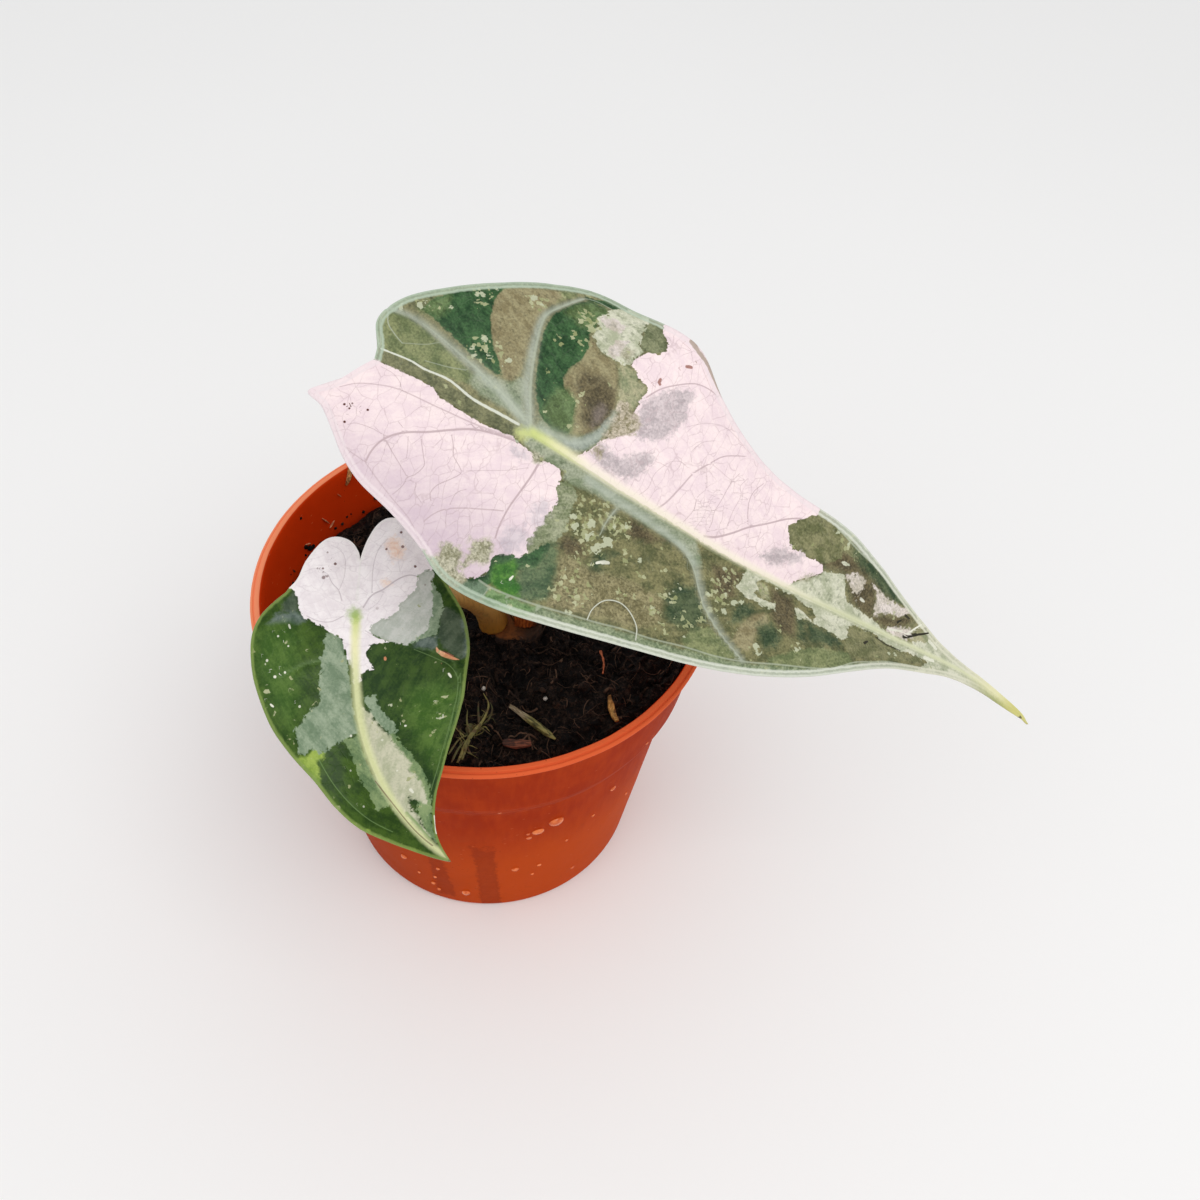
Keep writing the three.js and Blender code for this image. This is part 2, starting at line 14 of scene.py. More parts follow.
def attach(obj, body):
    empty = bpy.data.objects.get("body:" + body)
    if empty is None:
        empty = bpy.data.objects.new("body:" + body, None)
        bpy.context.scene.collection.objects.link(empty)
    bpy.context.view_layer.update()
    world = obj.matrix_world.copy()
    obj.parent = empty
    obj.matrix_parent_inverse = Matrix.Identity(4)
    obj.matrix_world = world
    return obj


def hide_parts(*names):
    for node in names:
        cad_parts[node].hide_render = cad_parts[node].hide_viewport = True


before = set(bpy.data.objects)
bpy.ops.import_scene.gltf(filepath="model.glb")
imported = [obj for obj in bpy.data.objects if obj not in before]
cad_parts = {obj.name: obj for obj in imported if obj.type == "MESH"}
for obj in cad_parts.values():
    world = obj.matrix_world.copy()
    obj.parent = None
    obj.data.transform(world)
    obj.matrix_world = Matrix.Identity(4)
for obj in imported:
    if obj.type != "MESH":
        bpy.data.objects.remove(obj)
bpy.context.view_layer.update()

MM = 0.001

# Driving dimensions, as in the CAD model
CLEARANCE = 0.3
POT_HEIGHT = 76
POT_RIM_RADIUS = 45
POT_WALL = 1
POT_FLOOR = 1.4
DRAIN_RADIUS = 3
DRAIN_CIRCLE = 24
DRAIN_COUNT = 8
SOIL_LEVEL = 64
SOIL_EDGE = 40.7
STOCK_CENTRE = (5.5, -1)
STOCK_RADIUS = 6.8
STOCK_TOP = 66
STOCK_BOTTOM = 40
BLADE_THICKNESS = 0.75
RIB_WIDTH = 1.2
LARGE_BASE = (7.6, 0.2)
LARGE_BASE_RADIUS = 3.2
SMALL_BASE = (1.6, -3.2)
SMALL_BASE_RADIUS = 2.3
STEM_FOOT = STOCK_TOP + CLEARANCE
STEM_OVERLAP = 0.5

# The camera stands in front of the pot and looks down on it
CAMERA_PLACE = (22.63, -141.79, 238.70)
CAMERA_ELEVATION = 49.59
CAMERA_ROLL = 4.97
LENS = 33
SENSOR = 36


# Curves, distances and smooth random values
def smooth_curve(points, steps):
    """Points of a smooth curve through the given points, with the same number for each span."""
    points = np.asarray(points, float)
    padded = np.vstack([2 * points[0] - points[1], points, 2 * points[-1] - points[-2]])
    share = (np.arange(steps) / steps)[:, None]
    spans = []
    for index in range(len(points) - 1):
        before, start, end, after = padded[index:index + 4]
        leave = (end - before) / 2
        arrive = (after - start) / 2
        spans.append(
            start + leave * share + (3 * (end - start) - 2 * leave - arrive) * share ** 2
            + (2 * (start - end) + leave + arrive) * share ** 3
        )
    return np.vstack([*spans, points[-1:]])


def run_lengths(points):
    """The length of a path up to each of its points."""
    return np.concatenate([[0], np.cumsum(np.linalg.norm(np.diff(points, axis=0), axis=1))])


def even_path(points, count):
    """A smooth path through the points, as count points at even distances."""
    path = smooth_curve(points, 16)
    lengths = run_lengths(path)
    wanted = np.linspace(0, lengths[-1], count)
    return np.stack([np.interp(wanted, lengths, path[:, axis]) for axis in range(path.shape[1])], axis=1)


def unit(vectors):
    return vectors / np.maximum(np.linalg.norm(vectors, axis=-1, keepdims=True), 1e-12)


def smooth_step(values, low, high):
    share = np.clip((values - low) / (high - low), 0, 1)
    return share * share * (3 - 2 * share)


def lattice_noise(points, scale, seed=0):
    """Smooth random values from -1 to 1, with bumps about 1 / scale apart."""
    scaled = np.asarray(points, float) * scale + 17.3 * seed
    base = np.floor(scaled)
    share = scaled - base
    share = share * share * (3 - 2 * share)
    total = 0
    for corner in itertools.product((0, 1), repeat=scaled.shape[-1]):
        value = np.sin((base + corner) @ np.array([127.1, 311.7, 74.7])[:scaled.shape[-1]]) * 43758.5453
        value -= np.floor(value)
        total = total + value * np.prod(np.where(corner, share, 1 - share), axis=-1)
    return 2 * total - 1


def nearest_on_line(points, line):
    """For each point, its offset from the nearest point of a line, and how far along that lies (0 to 1)."""
    start = line[:-1]
    step = line[1:] - start
    square = np.maximum((step ** 2).sum(axis=1), 1e-12)
    along = ((points[:, None] - start) * step).sum(axis=2) / square
    along = np.clip(along, 0, 1)
    offsets = points[:, None] - start - along[..., None] * step
    nearest = (offsets ** 2).sum(axis=2).argmin(axis=1)
    rows = np.arange(len(points))
    return offsets[rows, nearest], (nearest + along[rows, nearest]) / len(step)


def inside_distance(points, outline):
    """The distance to a closed outline, positive inside it."""
    outline = np.asarray(outline, float)
    closed = np.vstack([outline, outline[:1]])
    offsets, _ = nearest_on_line(points, closed)
    inside = np.zeros(len(points), bool)
    for (s0, t0), (s1, t1) in zip(closed[:-1], closed[1:]):
        if t0 == t1:
            continue
        crosses = (t0 > points[:, 1]) != (t1 > points[:, 1])
        crosses &= points[:, 0] < (s1 - s0) * (points[:, 1] - t0) / (t1 - t0) + s0
        inside ^= crosses
    return np.where(inside, 1, -1) * np.linalg.norm(offsets, axis=1)


# Meshes
def make_object(name, vertices, faces, materials, floats=(), vectors=(), face_material=None, merge=False):
    """An object at the origin from millimetre vertices, with named values on its points."""
    mesh = bpy.data.meshes.new(name)
    mesh.from_pydata((np.asarray(vertices) * MM).tolist(), [], faces)
    for label, values in dict(floats).items():
        mesh.attributes.new(label, "FLOAT", "POINT").data.foreach_set("value", np.ravel(values))
    for label, values in dict(vectors).items():
        mesh.attributes.new(label, "FLOAT_VECTOR", "POINT").data.foreach_set("vector", np.ravel(values))
    for material in materials:
        mesh.materials.append(material)
    if face_material is not None:
        mesh.polygons.foreach_set("material_index", face_material)
    mesh.polygons.foreach_set("use_smooth", [True] * len(mesh.polygons))
    if merge:
        shape = bmesh.new()
        shape.from_mesh(mesh)
        bmesh.ops.remove_doubles(shape, verts=shape.verts, dist=1e-7)
        bmesh.ops.recalc_face_normals(shape, faces=shape.faces)
        shape.to_mesh(mesh)
        shape.free()
    piece = bpy.data.objects.new(name, mesh)
    bpy.context.collection.objects.link(piece)
    return piece


def grid_faces(rows, columns, wrap=False):
    """Quads between the rows of a grid of vertices; wrap joins its last column to its first."""
    row, column = np.meshgrid(np.arange(rows - 1), np.arange(columns if wrap else columns - 1), indexing="ij")
    here = row * columns + column
    beside = row * columns + (column + 1) % columns
    return np.stack([here, beside, beside + columns, here + columns], axis=-1).reshape(-1, 4).tolist()


def skin(rings):
    """Vertices and faces of a closed body through equal rings of points."""
    rows, count = rings.shape[:2]
    faces = grid_faces(rows, count, wrap=True)
    faces.append(list(range(count))[::-1])
    faces.append(list(range((rows - 1) * count, rows * count)))
    return rings.reshape(-1, 3), faces


def tube_rings(path, radii, sides, flatten=1.0, level=False):
    """Rings of points round a path; flatten makes them oval, and level keeps the oval lying flat."""
    along = unit(np.gradient(path, axis=0))
    side = np.cross(along[0], (0, 0, 1) if abs(along[0][2]) < 0.9 else (1, 0, 0))
    across = np.empty_like(path)
    for index, direction in enumerate(along):
        if level:
            side = np.cross(direction, (0, 0, 1))
        side = unit(side - direction * (side @ direction))
        across[index] = side
    upward = np.cross(across, along)
    angle = 2 * np.pi * np.arange(sides) / sides
    radii = np.broadcast_to(radii, len(path))[:, None, None]
    oval = np.cos(angle)[:, None] * across[:, None] + flatten * np.sin(angle)[:, None] * upward[:, None]
    return path[:, None] + radii * oval


class Pile:
    """Collects closed bodies into one mesh, each with its own tint from 0 to 1."""

    def __init__(self):
        self.vertices = []
        self.faces = []
        self.tints = []
        self.count = 0

    def add(self, vertices, faces, tint=0.5):
        self.faces += [[corner + self.count for corner in face] for face in faces]
        self.vertices.append(vertices)
        self.tints += [tint] * len(vertices)
        self.count += len(vertices)

    def make(self, name, material):
        return make_object(name, np.vstack(self.vertices), self.faces, [material], {"tint": self.tints})


def show(piece, slot, *nodes):
    """Lets a piece ride with the plant and stand for CAD nodes. The slot is not used."""
    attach(piece, "root")
    if nodes:
        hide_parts(*nodes)
    return piece


# Materials
def colour(red, green, blue):
    """A colour given as screen values from 0 to 255."""
    def linear(value):
        share = value / 255
        return share / 12.92 if share <= 0.04045 else ((share + 0.055) / 1.055) ** 2.4
    return (linear(red), linear(green), linear(blue), 1.0)


class Shader:
    """One procedural material. Its methods take numbers, colours or sockets, and return a socket."""

    def __init__(self, name, **fixed):
        self.material = bpy.data.materials.new(name)
        self.material.use_nodes = True
        self.tree = self.material.node_tree
        self.surface = self.tree.nodes["Principled BSDF"]
        for key, value in fixed.items():
            self.surface.inputs[key.replace("_", " ").title().replace("Ior", "IOR")].default_value = value

    def put(self, socket, value):
        if isinstance(value, bpy.types.NodeSocket):
            self.tree.links.new(value, socket)
        else:
            socket.default_value = value

    def node(self, kind, inputs, output=0, **settings):
        node = self.tree.nodes.new("ShaderNode" + kind)
        for key, value in settings.items():
            setattr(node, key, value)
        for key, value in inputs.items():
            self.put(node.inputs[key], value)
        return node.outputs[output]

    def value(self, name):
        return self.node("Attribute", {}, "Fac", attribute_name=name)

    def vector(self, name):
        return self.node("Attribute", {}, "Vector", attribute_name=name)

    def place(self):
        """The place on the piece, in millimetres."""
        spot = self.node("TexCoord", {}, "Object")
        return self.node("VectorMath", {0: spot, 3: 1 / MM}, operation="SCALE")

    def noise(self, place, scale, detail=2.0, rough=0.5, distortion=0.0):
        return self.node("TexNoise", {
            "Vector": place, "Scale": scale, "Detail": detail, "Roughness": rough, "Distortion": distortion,
        })

    def cells(self, place, scale, feature="F1", output="Distance", random=1.0):
        inputs = {"Vector": place, "Scale": scale, "Randomness": random}
        return self.node("TexVoronoi", inputs, output, feature=feature)

    def math(self, operation, first, second=0.0):
        return self.node("Math", {0: first, 1: second}, operation=operation)

    def add(self, first, second):
        return self.math("ADD", first, second)

    def times(self, first, second):
        return self.math("MULTIPLY", first, second)

    def step(self, value, low, high, floor=0.0, top=1.0):
        """Rises smoothly from floor to top as the value goes from low to high."""
        inputs = {"Value": value, "From Min": low, "From Max": high, "To Min": floor, "To Max": top}
        return self.node("MapRange", inputs, interpolation_type="SMOOTHSTEP")

    def mix(self, share, first, second, blend="MIX"):
        return self.node("Mix", {0: share, 6: first, 7: second}, 2, data_type="RGBA", blend_type=blend)

    def total(self, *weighted):
        """The sum of sockets, each times its weight."""
        socket = self.times(*weighted[0])
        for value, weight in weighted[1:]:
            socket = self.node("Math", {0: value, 1: weight, 2: socket}, operation="MULTIPLY_ADD")
        return socket

    def stretch(self, place, factors):
        return self.node("VectorMath", {0: place, 1: factors}, operation="MULTIPLY")

    def warp(self, place, scale, reach):
        """Moves a place by smooth random amounts of up to about half the reach."""
        shift = self.node("TexNoise", {"Vector": place, "Scale": scale, "Detail": 2.0}, "Color")
        shift = self.node("VectorMath", {0: shift, 1: (-0.5, -0.5, -0.5)}, operation="ADD")
        inputs = {0: shift, 1: (reach, reach, reach), 2: place}
        return self.node("VectorMath", inputs, operation="MULTIPLY_ADD")

    def length(self, vector):
        return self.node("VectorMath", {0: vector}, "Value", operation="LENGTH")

    def parts(self, vector):
        node = self.tree.nodes.new("ShaderNodeSeparateXYZ")
        self.put(node.inputs[0], vector)
        return node.outputs

    def line(self, name, solid, gone, wander=0.0):
        """How much a set of lines covers, and its strength. The offsets are in half widths."""
        offset = self.vector(name)
        flat = self.node("VectorMath", {0: offset, 1: (1, 1, 0)}, operation="MULTIPLY")
        distance = self.add(self.length(flat), wander)
        return self.step(distance, solid, gone, 1.0, 0.0), self.parts(offset)[2]

    def finish(self, base, roughness, height=None, depth=0.1, strength=1.0):
        """Sets the surface; height from 0 to 1 stands for a relief of the depth in millimetres."""
        self.put(self.surface.inputs["Base Color"], base)
        self.put(self.surface.inputs["Roughness"], roughness)
        if height is not None:
            inputs = {"Height": height, "Distance": depth * MM, "Strength": strength}
            self.put(self.surface.inputs["Normal"], self.node("Bump", inputs))
        return self.material


# The two leaf blades: midrib, outline halves and the way each half folds, as in the CAD model
class Blade:
    MIDRIB_SAMPLES = 40
    FAN = 1.5

    def __init__(self, midrib, seat_index, roll, notch, tip, rib_depth, fold, far_half, near_half):
        self.curve = smooth_curve(midrib, self.MIDRIB_SAMPLES)
        self.lengths = run_lengths(self.curve)
        self.tangents = unit(np.gradient(self.curve, self.lengths, axis=0))
        self.seat = self.lengths[self.MIDRIB_SAMPLES * seat_index]
        self.roll = math.radians(roll)
        self.notch = notch
        self.tip = tip
        self.rib_depth = rib_depth
        self.fold = fold
        self.far_half = far_half
        self.near_half = near_half

    def axes(self, s):
        wanted = np.clip(s + self.seat, 0, self.lengths[-1])
        centre, along = (
            np.stack([np.interp(wanted, self.lengths, row) for row in rows.T], axis=-1)
            for rows in (self.curve, self.tangents)
        )
        along = unit(along)
        centre = centre + along * (s + self.seat - wanted)[..., None]
        level = unit(np.stack([-along[..., 1], along[..., 0], np.zeros_like(s)], axis=-1))
        across = level * math.cos(self.roll) + np.cross(along, level) * math.sin(self.roll)
        return centre, across, np.cross(along, across)

    def place(self, s, t, depth=0.0):
        s = np.asarray(s, float)
        t = np.asarray(t, float)
        centre, across, normal = self.axes(s)
        rise = self.fold(s, t) - depth
        return centre + across * t[..., None] + normal * np.asarray(rise)[..., None]

    def grid(self, steps, columns):
        """s and t of a grid of points that fans out from the midrib, near margin to far margin."""
        near, far = (smooth_curve(half, steps) for half in (self.near_half, self.far_half))
        shares = [run_lengths(half) / run_lengths(half)[-1] for half in (near, far)]
        root = self.notch + (self.tip - self.notch) * ((shares[0] + shares[1]) / 2) ** self.FAN
        even = np.linspace(0, 1, columns + 1)
        across = 0.65 * even + 0.35 * (1 - np.cos(np.pi * even)) / 2
        halves = []
        for half in (near, far):
            s = root[:, None] + (half[:, :1] - root[:, None]) * across
            halves.append(np.stack([s, half[:, 1:] * across], axis=-1))
        return np.concatenate([halves[0][:, :0:-1], halves[1]], axis=1)

    def outline(self, steps=6):
        near, far = (smooth_curve(half, steps) for half in (self.near_half, self.far_half))
        return np.vstack([far, near[-2:0:-1]])


def fold_large(s, t):
    reach = np.abs(t)
    half_width = 28 * np.clip((118 - s) / 100, 0.12, 1)
    near_margin = np.minimum(1.2, reach / half_width) ** 3
    valley = 0.14 + 0.004 * np.clip(s, 0, 80)
    wave = np.where(
        t > 0, 2 * np.cos(2 * np.pi * (s - 18) / 39), 1.4 * np.cos(2 * np.pi * (s - 30) / 46),
    )
    calm = np.clip((118 - s) / 60, 0.1, 1)
    return valley * (np.hypot(reach, 2) - 2) - 0.0045 * reach ** 2 + wave * calm * near_margin


def fold_small(s, t):
    reach = np.abs(t)
    half_width = 19 * np.clip((52 - s) / 45, 0.15, 1)
    near_margin = np.minimum(1.2, reach / half_width) ** 3
    valley = 0.16 + np.where(t > 0, 0.008, 0.003) * np.clip(s, 0, 45)
    wave = np.where(t > 0, np.cos(2 * np.pi * (s - 14) / 30), np.cos(2 * np.pi * (s - 4) / 28))
    calm = np.clip((52 - s) / 30, 0.1, 1)
    return valley * (np.hypot(reach, 1.4) - 1.4) - 0.008 * reach ** 2 + wave * calm * near_margin


LARGE = Blade(
    midrib=[
        (-28, -9.5, 140.5), (-9.5, -12, 134.5), (9, -15, 127), (26.5, -18.5, 118), (44, -21, 108.5),
        (61.5, -21.5, 99.5), (79, -20.5, 89.5), (91.5, -19, 81), (104, -17, 69.5), (107, -16.5, 66),
    ],
    seat_index=2, roll=22, notch=-24.7, tip=117.5, rib_depth=2.2, fold=fold_large,
    far_half=[
        (-24.7, 0), (-25.2, 2.4), (-26.6, 5.4), (-26, 8.3), (-23.4, 12), (-18.5, 16.2), (-12, 21.2),
        (-6, 25.6), (0, 29), (6.5, 28.5), (13, 28.2), (19, 26.8), (24.2, 23), (30, 20.3), (38, 17.3),
        (47, 15), (55, 13.6), (63, 11.4), (71, 8.5), (78, 5.4), (85, 3), (93, 1.7), (104, 1.1),
        (112, 0.7), (117.5, 0),
    ],
    near_half=[
        (-24.7, 0), (-26.2, -2.3), (-28.4, -6), (-31.2, -9), (-28.6, -10.4), (-26, -13), (-22.8, -16.3),
        (-18.8, -18.9), (-13, -21), (-7, -23.5), (-2.5, -25.8), (2.5, -26.5), (9.5, -26), (18, -24.3),
        (27, -22.4), (37, -20), (47, -16.9), (56, -13.4), (64, -9.4), (72, -5.9), (80, -3.8),
        (88, -1.9), (98, -1.1), (109, -0.7), (117.5, 0),
    ],
)

SMALL = Blade(
    midrib=[
        (-18.5, -11.5, 103.5), (-18, -20, 100.5), (-17.5, -28.3, 97), (-16.3, -37.2, 92.5),
        (-14, -45.5, 87.5), (-9.5, -52.3, 81.7), (-3.2, -56.9, 75.5), (3.7, -58.4, 68.4),
    ],
    seat_index=2, roll=0, notch=-9.1, tip=47.3, rib_depth=1.3, fold=fold_small,
    far_half=[
        (-9.1, 0), (-11, 0.35), (-13.2, 1), (-15.6, 2.2), (-16.9, 4), (-16.6, 6.3), (-14.6, 9),
        (-11.2, 11.4), (-7.4, 13.6), (-4, 15.8), (-0.8, 17.5), (3, 18.5), (7.5, 18.8), (12.5, 18),
        (18, 16.9), (23.5, 15.2), (28.7, 12.6), (32.6, 9.9), (36, 6.5), (39.5, 3.7), (43.2, 1.7),
        (47.3, 0),
    ],
    near_half=[
        (-9.1, 0), (-10.6, -0.4), (-12.3, -1.7), (-13, -3.7), (-12.6, -5.6), (-11, -7.2), (-8.2, -8.8),
        (-5.2, -9.7), (-3.6, -10.8), (-1.5, -13), (0.8, -14.9), (3.8, -16), (7.6, -16), (12, -15.2),
        (16.5, -13.6), (20.5, -11.2), (24.5, -9.1), (28.6, -8), (32.5, -6.7), (36.6, -4.4),
        (41, -2.2), (47.3, 0),
    ],
)

# Coloured sectors of the large leaf, as outlines in its own plane. A later one covers an earlier one.
LARGE_SECTORS = {
    "moss": [
        [(-26, 8.6), (-24, 8.6), (-20, 7.6), (-15, 6), (-11, 4.6), (-9, 3.4), (-13, 2.4), (-19, 2), (-24.6, 2),
         (-27, 5)],
        [(35.5, -14), (38, -13), (41, -14.2), (43.5, -15.6), (40, -18), (36, -19), (34.5, -17)],
        [(48, -13.6), (53, -10), (57, -8), (61, -7), (63, -6.6), (64, -9), (57, -13), (49, -16)],
        [(-12, 20), (-8, 22), (-5, 24.3), (-3, 26.6), (-2, 26), (-4.2, 23), (-7, 21.8), (-10.2, 19.6)],
    ],
    "sage": [
        [(-10.5, 5.4), (-8, 5.6), (-5.5, 6), (-4, 8), (-3.2, 7), (-2.4, 4.5), (-1, 2.2), (-5, 2), (-9, 2.3), (-11, 3.4)],
        [(0, 0.8), (0.4, -1.4), (2.4, -2.2), (4.8, -2.2), (8, -2), (8, 0.8)],
        [(8.1, -2), (8.2, -3.2), (10, -3.3), (12, -2.8), (14, -2.4), (20, -2.2), (28, -2.3), (31, -3), (33, -4.4),
         (34.5, -3.6), (33.5, -1.6), (31.5, 0.3), (8, 0.6), (4, -0.4), (6.5, -1.9)],
        [(0.4, 3.8), (3, 3), (6, 3.2), (8.2, 4.6), (9.6, 7), (10.2, 9), (10.8, 8.6), (10.5, 5.5), (9.8, 3.4), (8.5, 2),
         (2, 1)],
    ],
    "tan": [
        [(-12.8, 18.6), (-12.6, 15.6), (-12, 13.5), (-10.9, 11.4), (-9.8, 9.8), (-8, 7.8), (-6.6, 6.2), (-5.2, 6.4),
         (-4.6, 8.5), (-4.9, 11), (-5.2, 15), (-5.6, 19), (-5, 21.5), (-3.8, 24.4), (-6, 25), (-8.5, 22.9),
         (-11.5, 20.5)],
        [(2.2, 20.2), (3.5, 18.6), (4.5, 18), (7, 17.8), (8.2, 15.6), (9.3, 13.2), (10.2, 11), (10.2, 8.6), (9, 6),
         (7.6, 4.6), (6.2, 4), (5.8, 5.4), (5, 7), (4.4, 8.6), (2.2, 9), (1.3, 10.4), (1.6, 12.6), (2.3, 15),
         (2.4, 17.5), (1.8, 19.4)],
        [(42.6, -10), (44.2, -7.4), (46.6, -6), (47.4, -7.6), (46, -9), (45.2, -11), (45.4, -12.6), (44, -14.4),
         (41.8, -13.4)],
    ],
    "dun": [
        [(13.4, -14), (18, -14), (24, -12.4), (30, -12.6), (30.8, -16), (28, -18.8), (20, -20.6), (15, -22.4),
         (14.4, -19.5), (13.8, -16.5)],
    ],
    "umber": [
        [(3, 13.6), (6.6, 14.6), (8.8, 13.6), (9.9, 12), (10.3, 10), (9.8, 7.4), (8.4, 5.6), (6.4, 6.4), (5.4, 9),
         (3.4, 10.4)],
        [(20.5, -2.8), (27, -3), (25, -4.8), (21, -6)],
        [(12.5, -11), (15.5, -11), (16.6, -12.6), (14.5, -13.8), (12.6, -13.4)],
        [(36.2, -2), (41.6, -0.8), (41.4, -2.6), (40.4, -4.4), (41, -5.6), (39, -7.6), (37.2, -6)],
        [(47.4, -0.8), (52, -0.9), (52.3, -5), (52, -8), (49.6, -8.4), (47.6, -6)],
        [(56.5, 9.6), (59, 9.8), (61.4, 9.6), (62.4, 8), (60, 6.5), (52, 6.2), (53, 7), (56, 8)],
        [(57.4, 8.2), (59.4, 9.8), (62, 9.2), (65, 8.2), (67.6, 6.9), (66.4, 5), (64.2, 7.2), (61, 7.4), (58.8, 6.6)],
        [(60, 6.6), (61, 5), (62.4, 3.2), (65, 2.2), (67.8, 1.8), (67.4, 4.4), (66.4, 6.4), (64.4, 7.2), (62, 7.4)],
        [(67.5, 1.8), (70, 3.2), (73, 4), (75.6, 5.2), (76.3, 4.2), (74.4, 2.6), (71.5, 1.6)],
    ],
    "lilac": [
        [(7.6, 10.6), (9, 10.4), (9.4, 8.2), (8.4, 6.6), (7.4, 8.4)],
    ],
    # Along a broad vein: its pale colour with a painted sheen
    "haze": [
        [(10.5, 10), (10.5, 5), (9.2, 2.8), (7, 1.6), (4, 1.2), (6, 2.6), (8, 4.2), (9.3, 6.4), (9.9, 9)],
    ],
    "olive": [
        [(46, 9.5), (47, 10.6), (48.6, 11.8), (49.3, 12.6), (50.8, 13.3), (50.5, 14.6), (53, 14.4), (56, 12.6),
         (59, 11.4), (61, 10.6), (60, 9.4), (57.5, 9.6), (57.6, 8.4), (56.5, 7.4), (54.5, 6.4), (52, 6.3),
         (50.5, 6.5), (48, 6.6), (47.4, 7), (47, 8.2), (46.2, 8.6)],
        [(62, -4.6), (63, -2.6), (63.2, -1.4), (64.5, -0.6), (68, -0.4), (70, -0.9), (72, -1.3), (76, -1.3),
         (81, -1), (79, -2.4), (76, -3), (72, -4.2), (68, -5.4), (65, -6.8), (62.4, -6.4)],
    ],
    "teal": [
        [(30.8, -9), (32.5, -8.4), (34.2, -7.6), (36, -10), (37, -12), (36, -14.4), (33.5, -15.6), (31, -15),
         (30.4, -12)],
        [(17.8, -12.6), (18.4, -10.8), (19.6, -9.8), (20.8, -9.4), (19.6, -11.6), (19.4, -13.4), (18.2, -14.2)],
        [(58.6, 11.2), (61, 11), (65, 10.2), (70, 8.8), (74, 7.4), (75.4, 6.6), (73, 6), (70, 6.1), (67.6, 6.6),
         (65, 7.8), (62, 8.6), (60, 9.6)],
        [(45.6, -8.4), (48, -7.4), (49.8, -9), (49, -11.2), (47, -12.2), (45.8, -10.4)],
        [(52.8, -4.2), (54.4, -4), (54.2, -8.2), (52.9, -8)],
        [(41.4, -7), (43.6, -5.8), (44.6, -6.8), (42.6, -9.6), (41, -10.6)],
        [(54.5, -4.2), (58, -4.2), (60.6, -4.6), (61.6, -5.4), (59.5, -6.8), (55, -7.6)],
    ],
    "green": [
        [(-21.6, 10.2), (-20.6, 13), (-17.8, 15.8), (-15.5, 17.9), (-13.5, 19.5), (-12.2, 19.8), (-12.7, 17.5),
         (-12.5, 15.6), (-12, 13.6), (-11, 11.6), (-9.8, 9.8), (-8.2, 8), (-6.6, 6), (-9, 6.3), (-12.5, 7.2),
         (-16, 8.5), (-19.5, 9.6)],
        [(-4.3, 19.6), (-3, 22.5), (-1.3, 25.4), (0.5, 26.5), (2, 26.4), (2.7, 25.4), (1.9, 24.4), (1.5, 23.8),
         (2.2, 22.3), (1.7, 20), (2.4, 18), (2.3, 15), (1.4, 13), (1.2, 11), (2.2, 9.4), (4.5, 8.5), (5, 6),
         (6, 3.4), (3.8, 3), (2, 3.3), (0.4, 4.3), (-1.2, 6.5), (-2.6, 9.5), (-3.6, 13), (-4.4, 17)],
        [(-1.5, 27), (0.5, 27.4), (2.3, 28.8), (4, 28.2), (3.8, 27.1), (1.8, 26.9), (0, 26.6)],
        [(4.2, -20.6), (4.8, -19.2), (6.6, -18), (8.1, -17.8), (8.8, -16.6), (9.8, -15.2), (10.4, -13.8),
         (11.2, -13.2), (11.6, -15), (11.4, -17), (11, -19), (8, -20), (6, -24), (2.2, -24.8), (4, -23.4), (5, -22.4)],
    ],
    "deep": [
        [(11, -13.6), (12, -13.2), (12.8, -14.8), (13.6, -16.6), (14.2, -18.6), (14.6, -20.6), (13.8, -22.3),
         (11, -24), (9, -23.4), (9, -19), (11, -17.6), (11.4, -15.4)],
    ],
    "grass": [
        [(0.8, 4.6), (3, 3.2), (5.9, 3), (6, 4.4), (5, 6.6), (4.4, 8.8), (2.4, 9.8), (1.2, 9), (0.6, 6.5)],
        [(-3, 21.6), (-1.5, 24.8), (0.4, 26.3), (2.1, 26.5), (2.9, 25.3), (1.6, 24), (2.3, 22.4), (1.9, 21), (0, 20.8)],
        [(-22, 9.8), (-20.8, 12.6), (-18.6, 14.6), (-18, 12), (-19, 10)],
    ],
    "bright": [
        [(5.2, -20.8), (6.6, -19.8), (7.6, -18.6), (8.6, -19.2), (8.8, -20.6), (10.4, -21.6), (11, -23), (9, -24),
         (6.4, -23.6), (5.4, -22.4)],
    ],
    "khaki": [
        [(8, 18.3), (10, 18.4), (11.3, 17.1), (12.7, 16.9), (13, 15.5), (12.7, 13.5), (12.6, 11.5), (11, 6),
         (10.4, 5.4), (10.6, 10), (9.6, 13.2), (8.4, 15.8), (7.4, 17.8)],
        [(44.4, -1), (47, -0.6), (47.2, -3), (46, -3.6), (44.4, -2.6)],
        [(76.6, 1.4), (78, 2.6), (80, 3.8), (82.5, 4), (85, 3), (83, 2), (80, 1.2)],
    ],
    "rim_green": [
        [(6.4, -23.8), (10, -23.8), (15, -22.8), (14.4, -25), (9.5, -28), (6.2, -29), (6.4, -25)],
    ],
    "rim_shade": [
        [(1, -26.4), (2.4, -24.9), (4.6, -24), (6.3, -23.9), (6.4, -25.2), (5, -29), (2, -29)],
    ],
    "rim_band": [
        [(13.4, -24.4), (14, -22.9), (18, -22.2), (22, -21.2), (26, -20.5), (30, -19.6), (35, -18.5),
         (40, -17.2), (44, -16.1), (50, -14), (56, -12.1), (60, -10.7), (64, -8.1), (68, -6.5), (72, -4.9),
         (78, -3.5), (88, -3.4), (80, -6), (72, -8), (64, -12), (56, -16), (47, -20), (37, -23), (27, -26),
         (18, -28), (14, -28)],
        [(-27.5, 8), (-24, 13), (-19, 17.8), (-12.5, 23), (-6, 27.4), (0, 31), (7, 31), (6.5, 27.8), (0, 28.1),
         (-5.6, 24.8), (-11.5, 20.6), (-18, 15.8), (-22.8, 11.6), (-25.2, 8.2)],
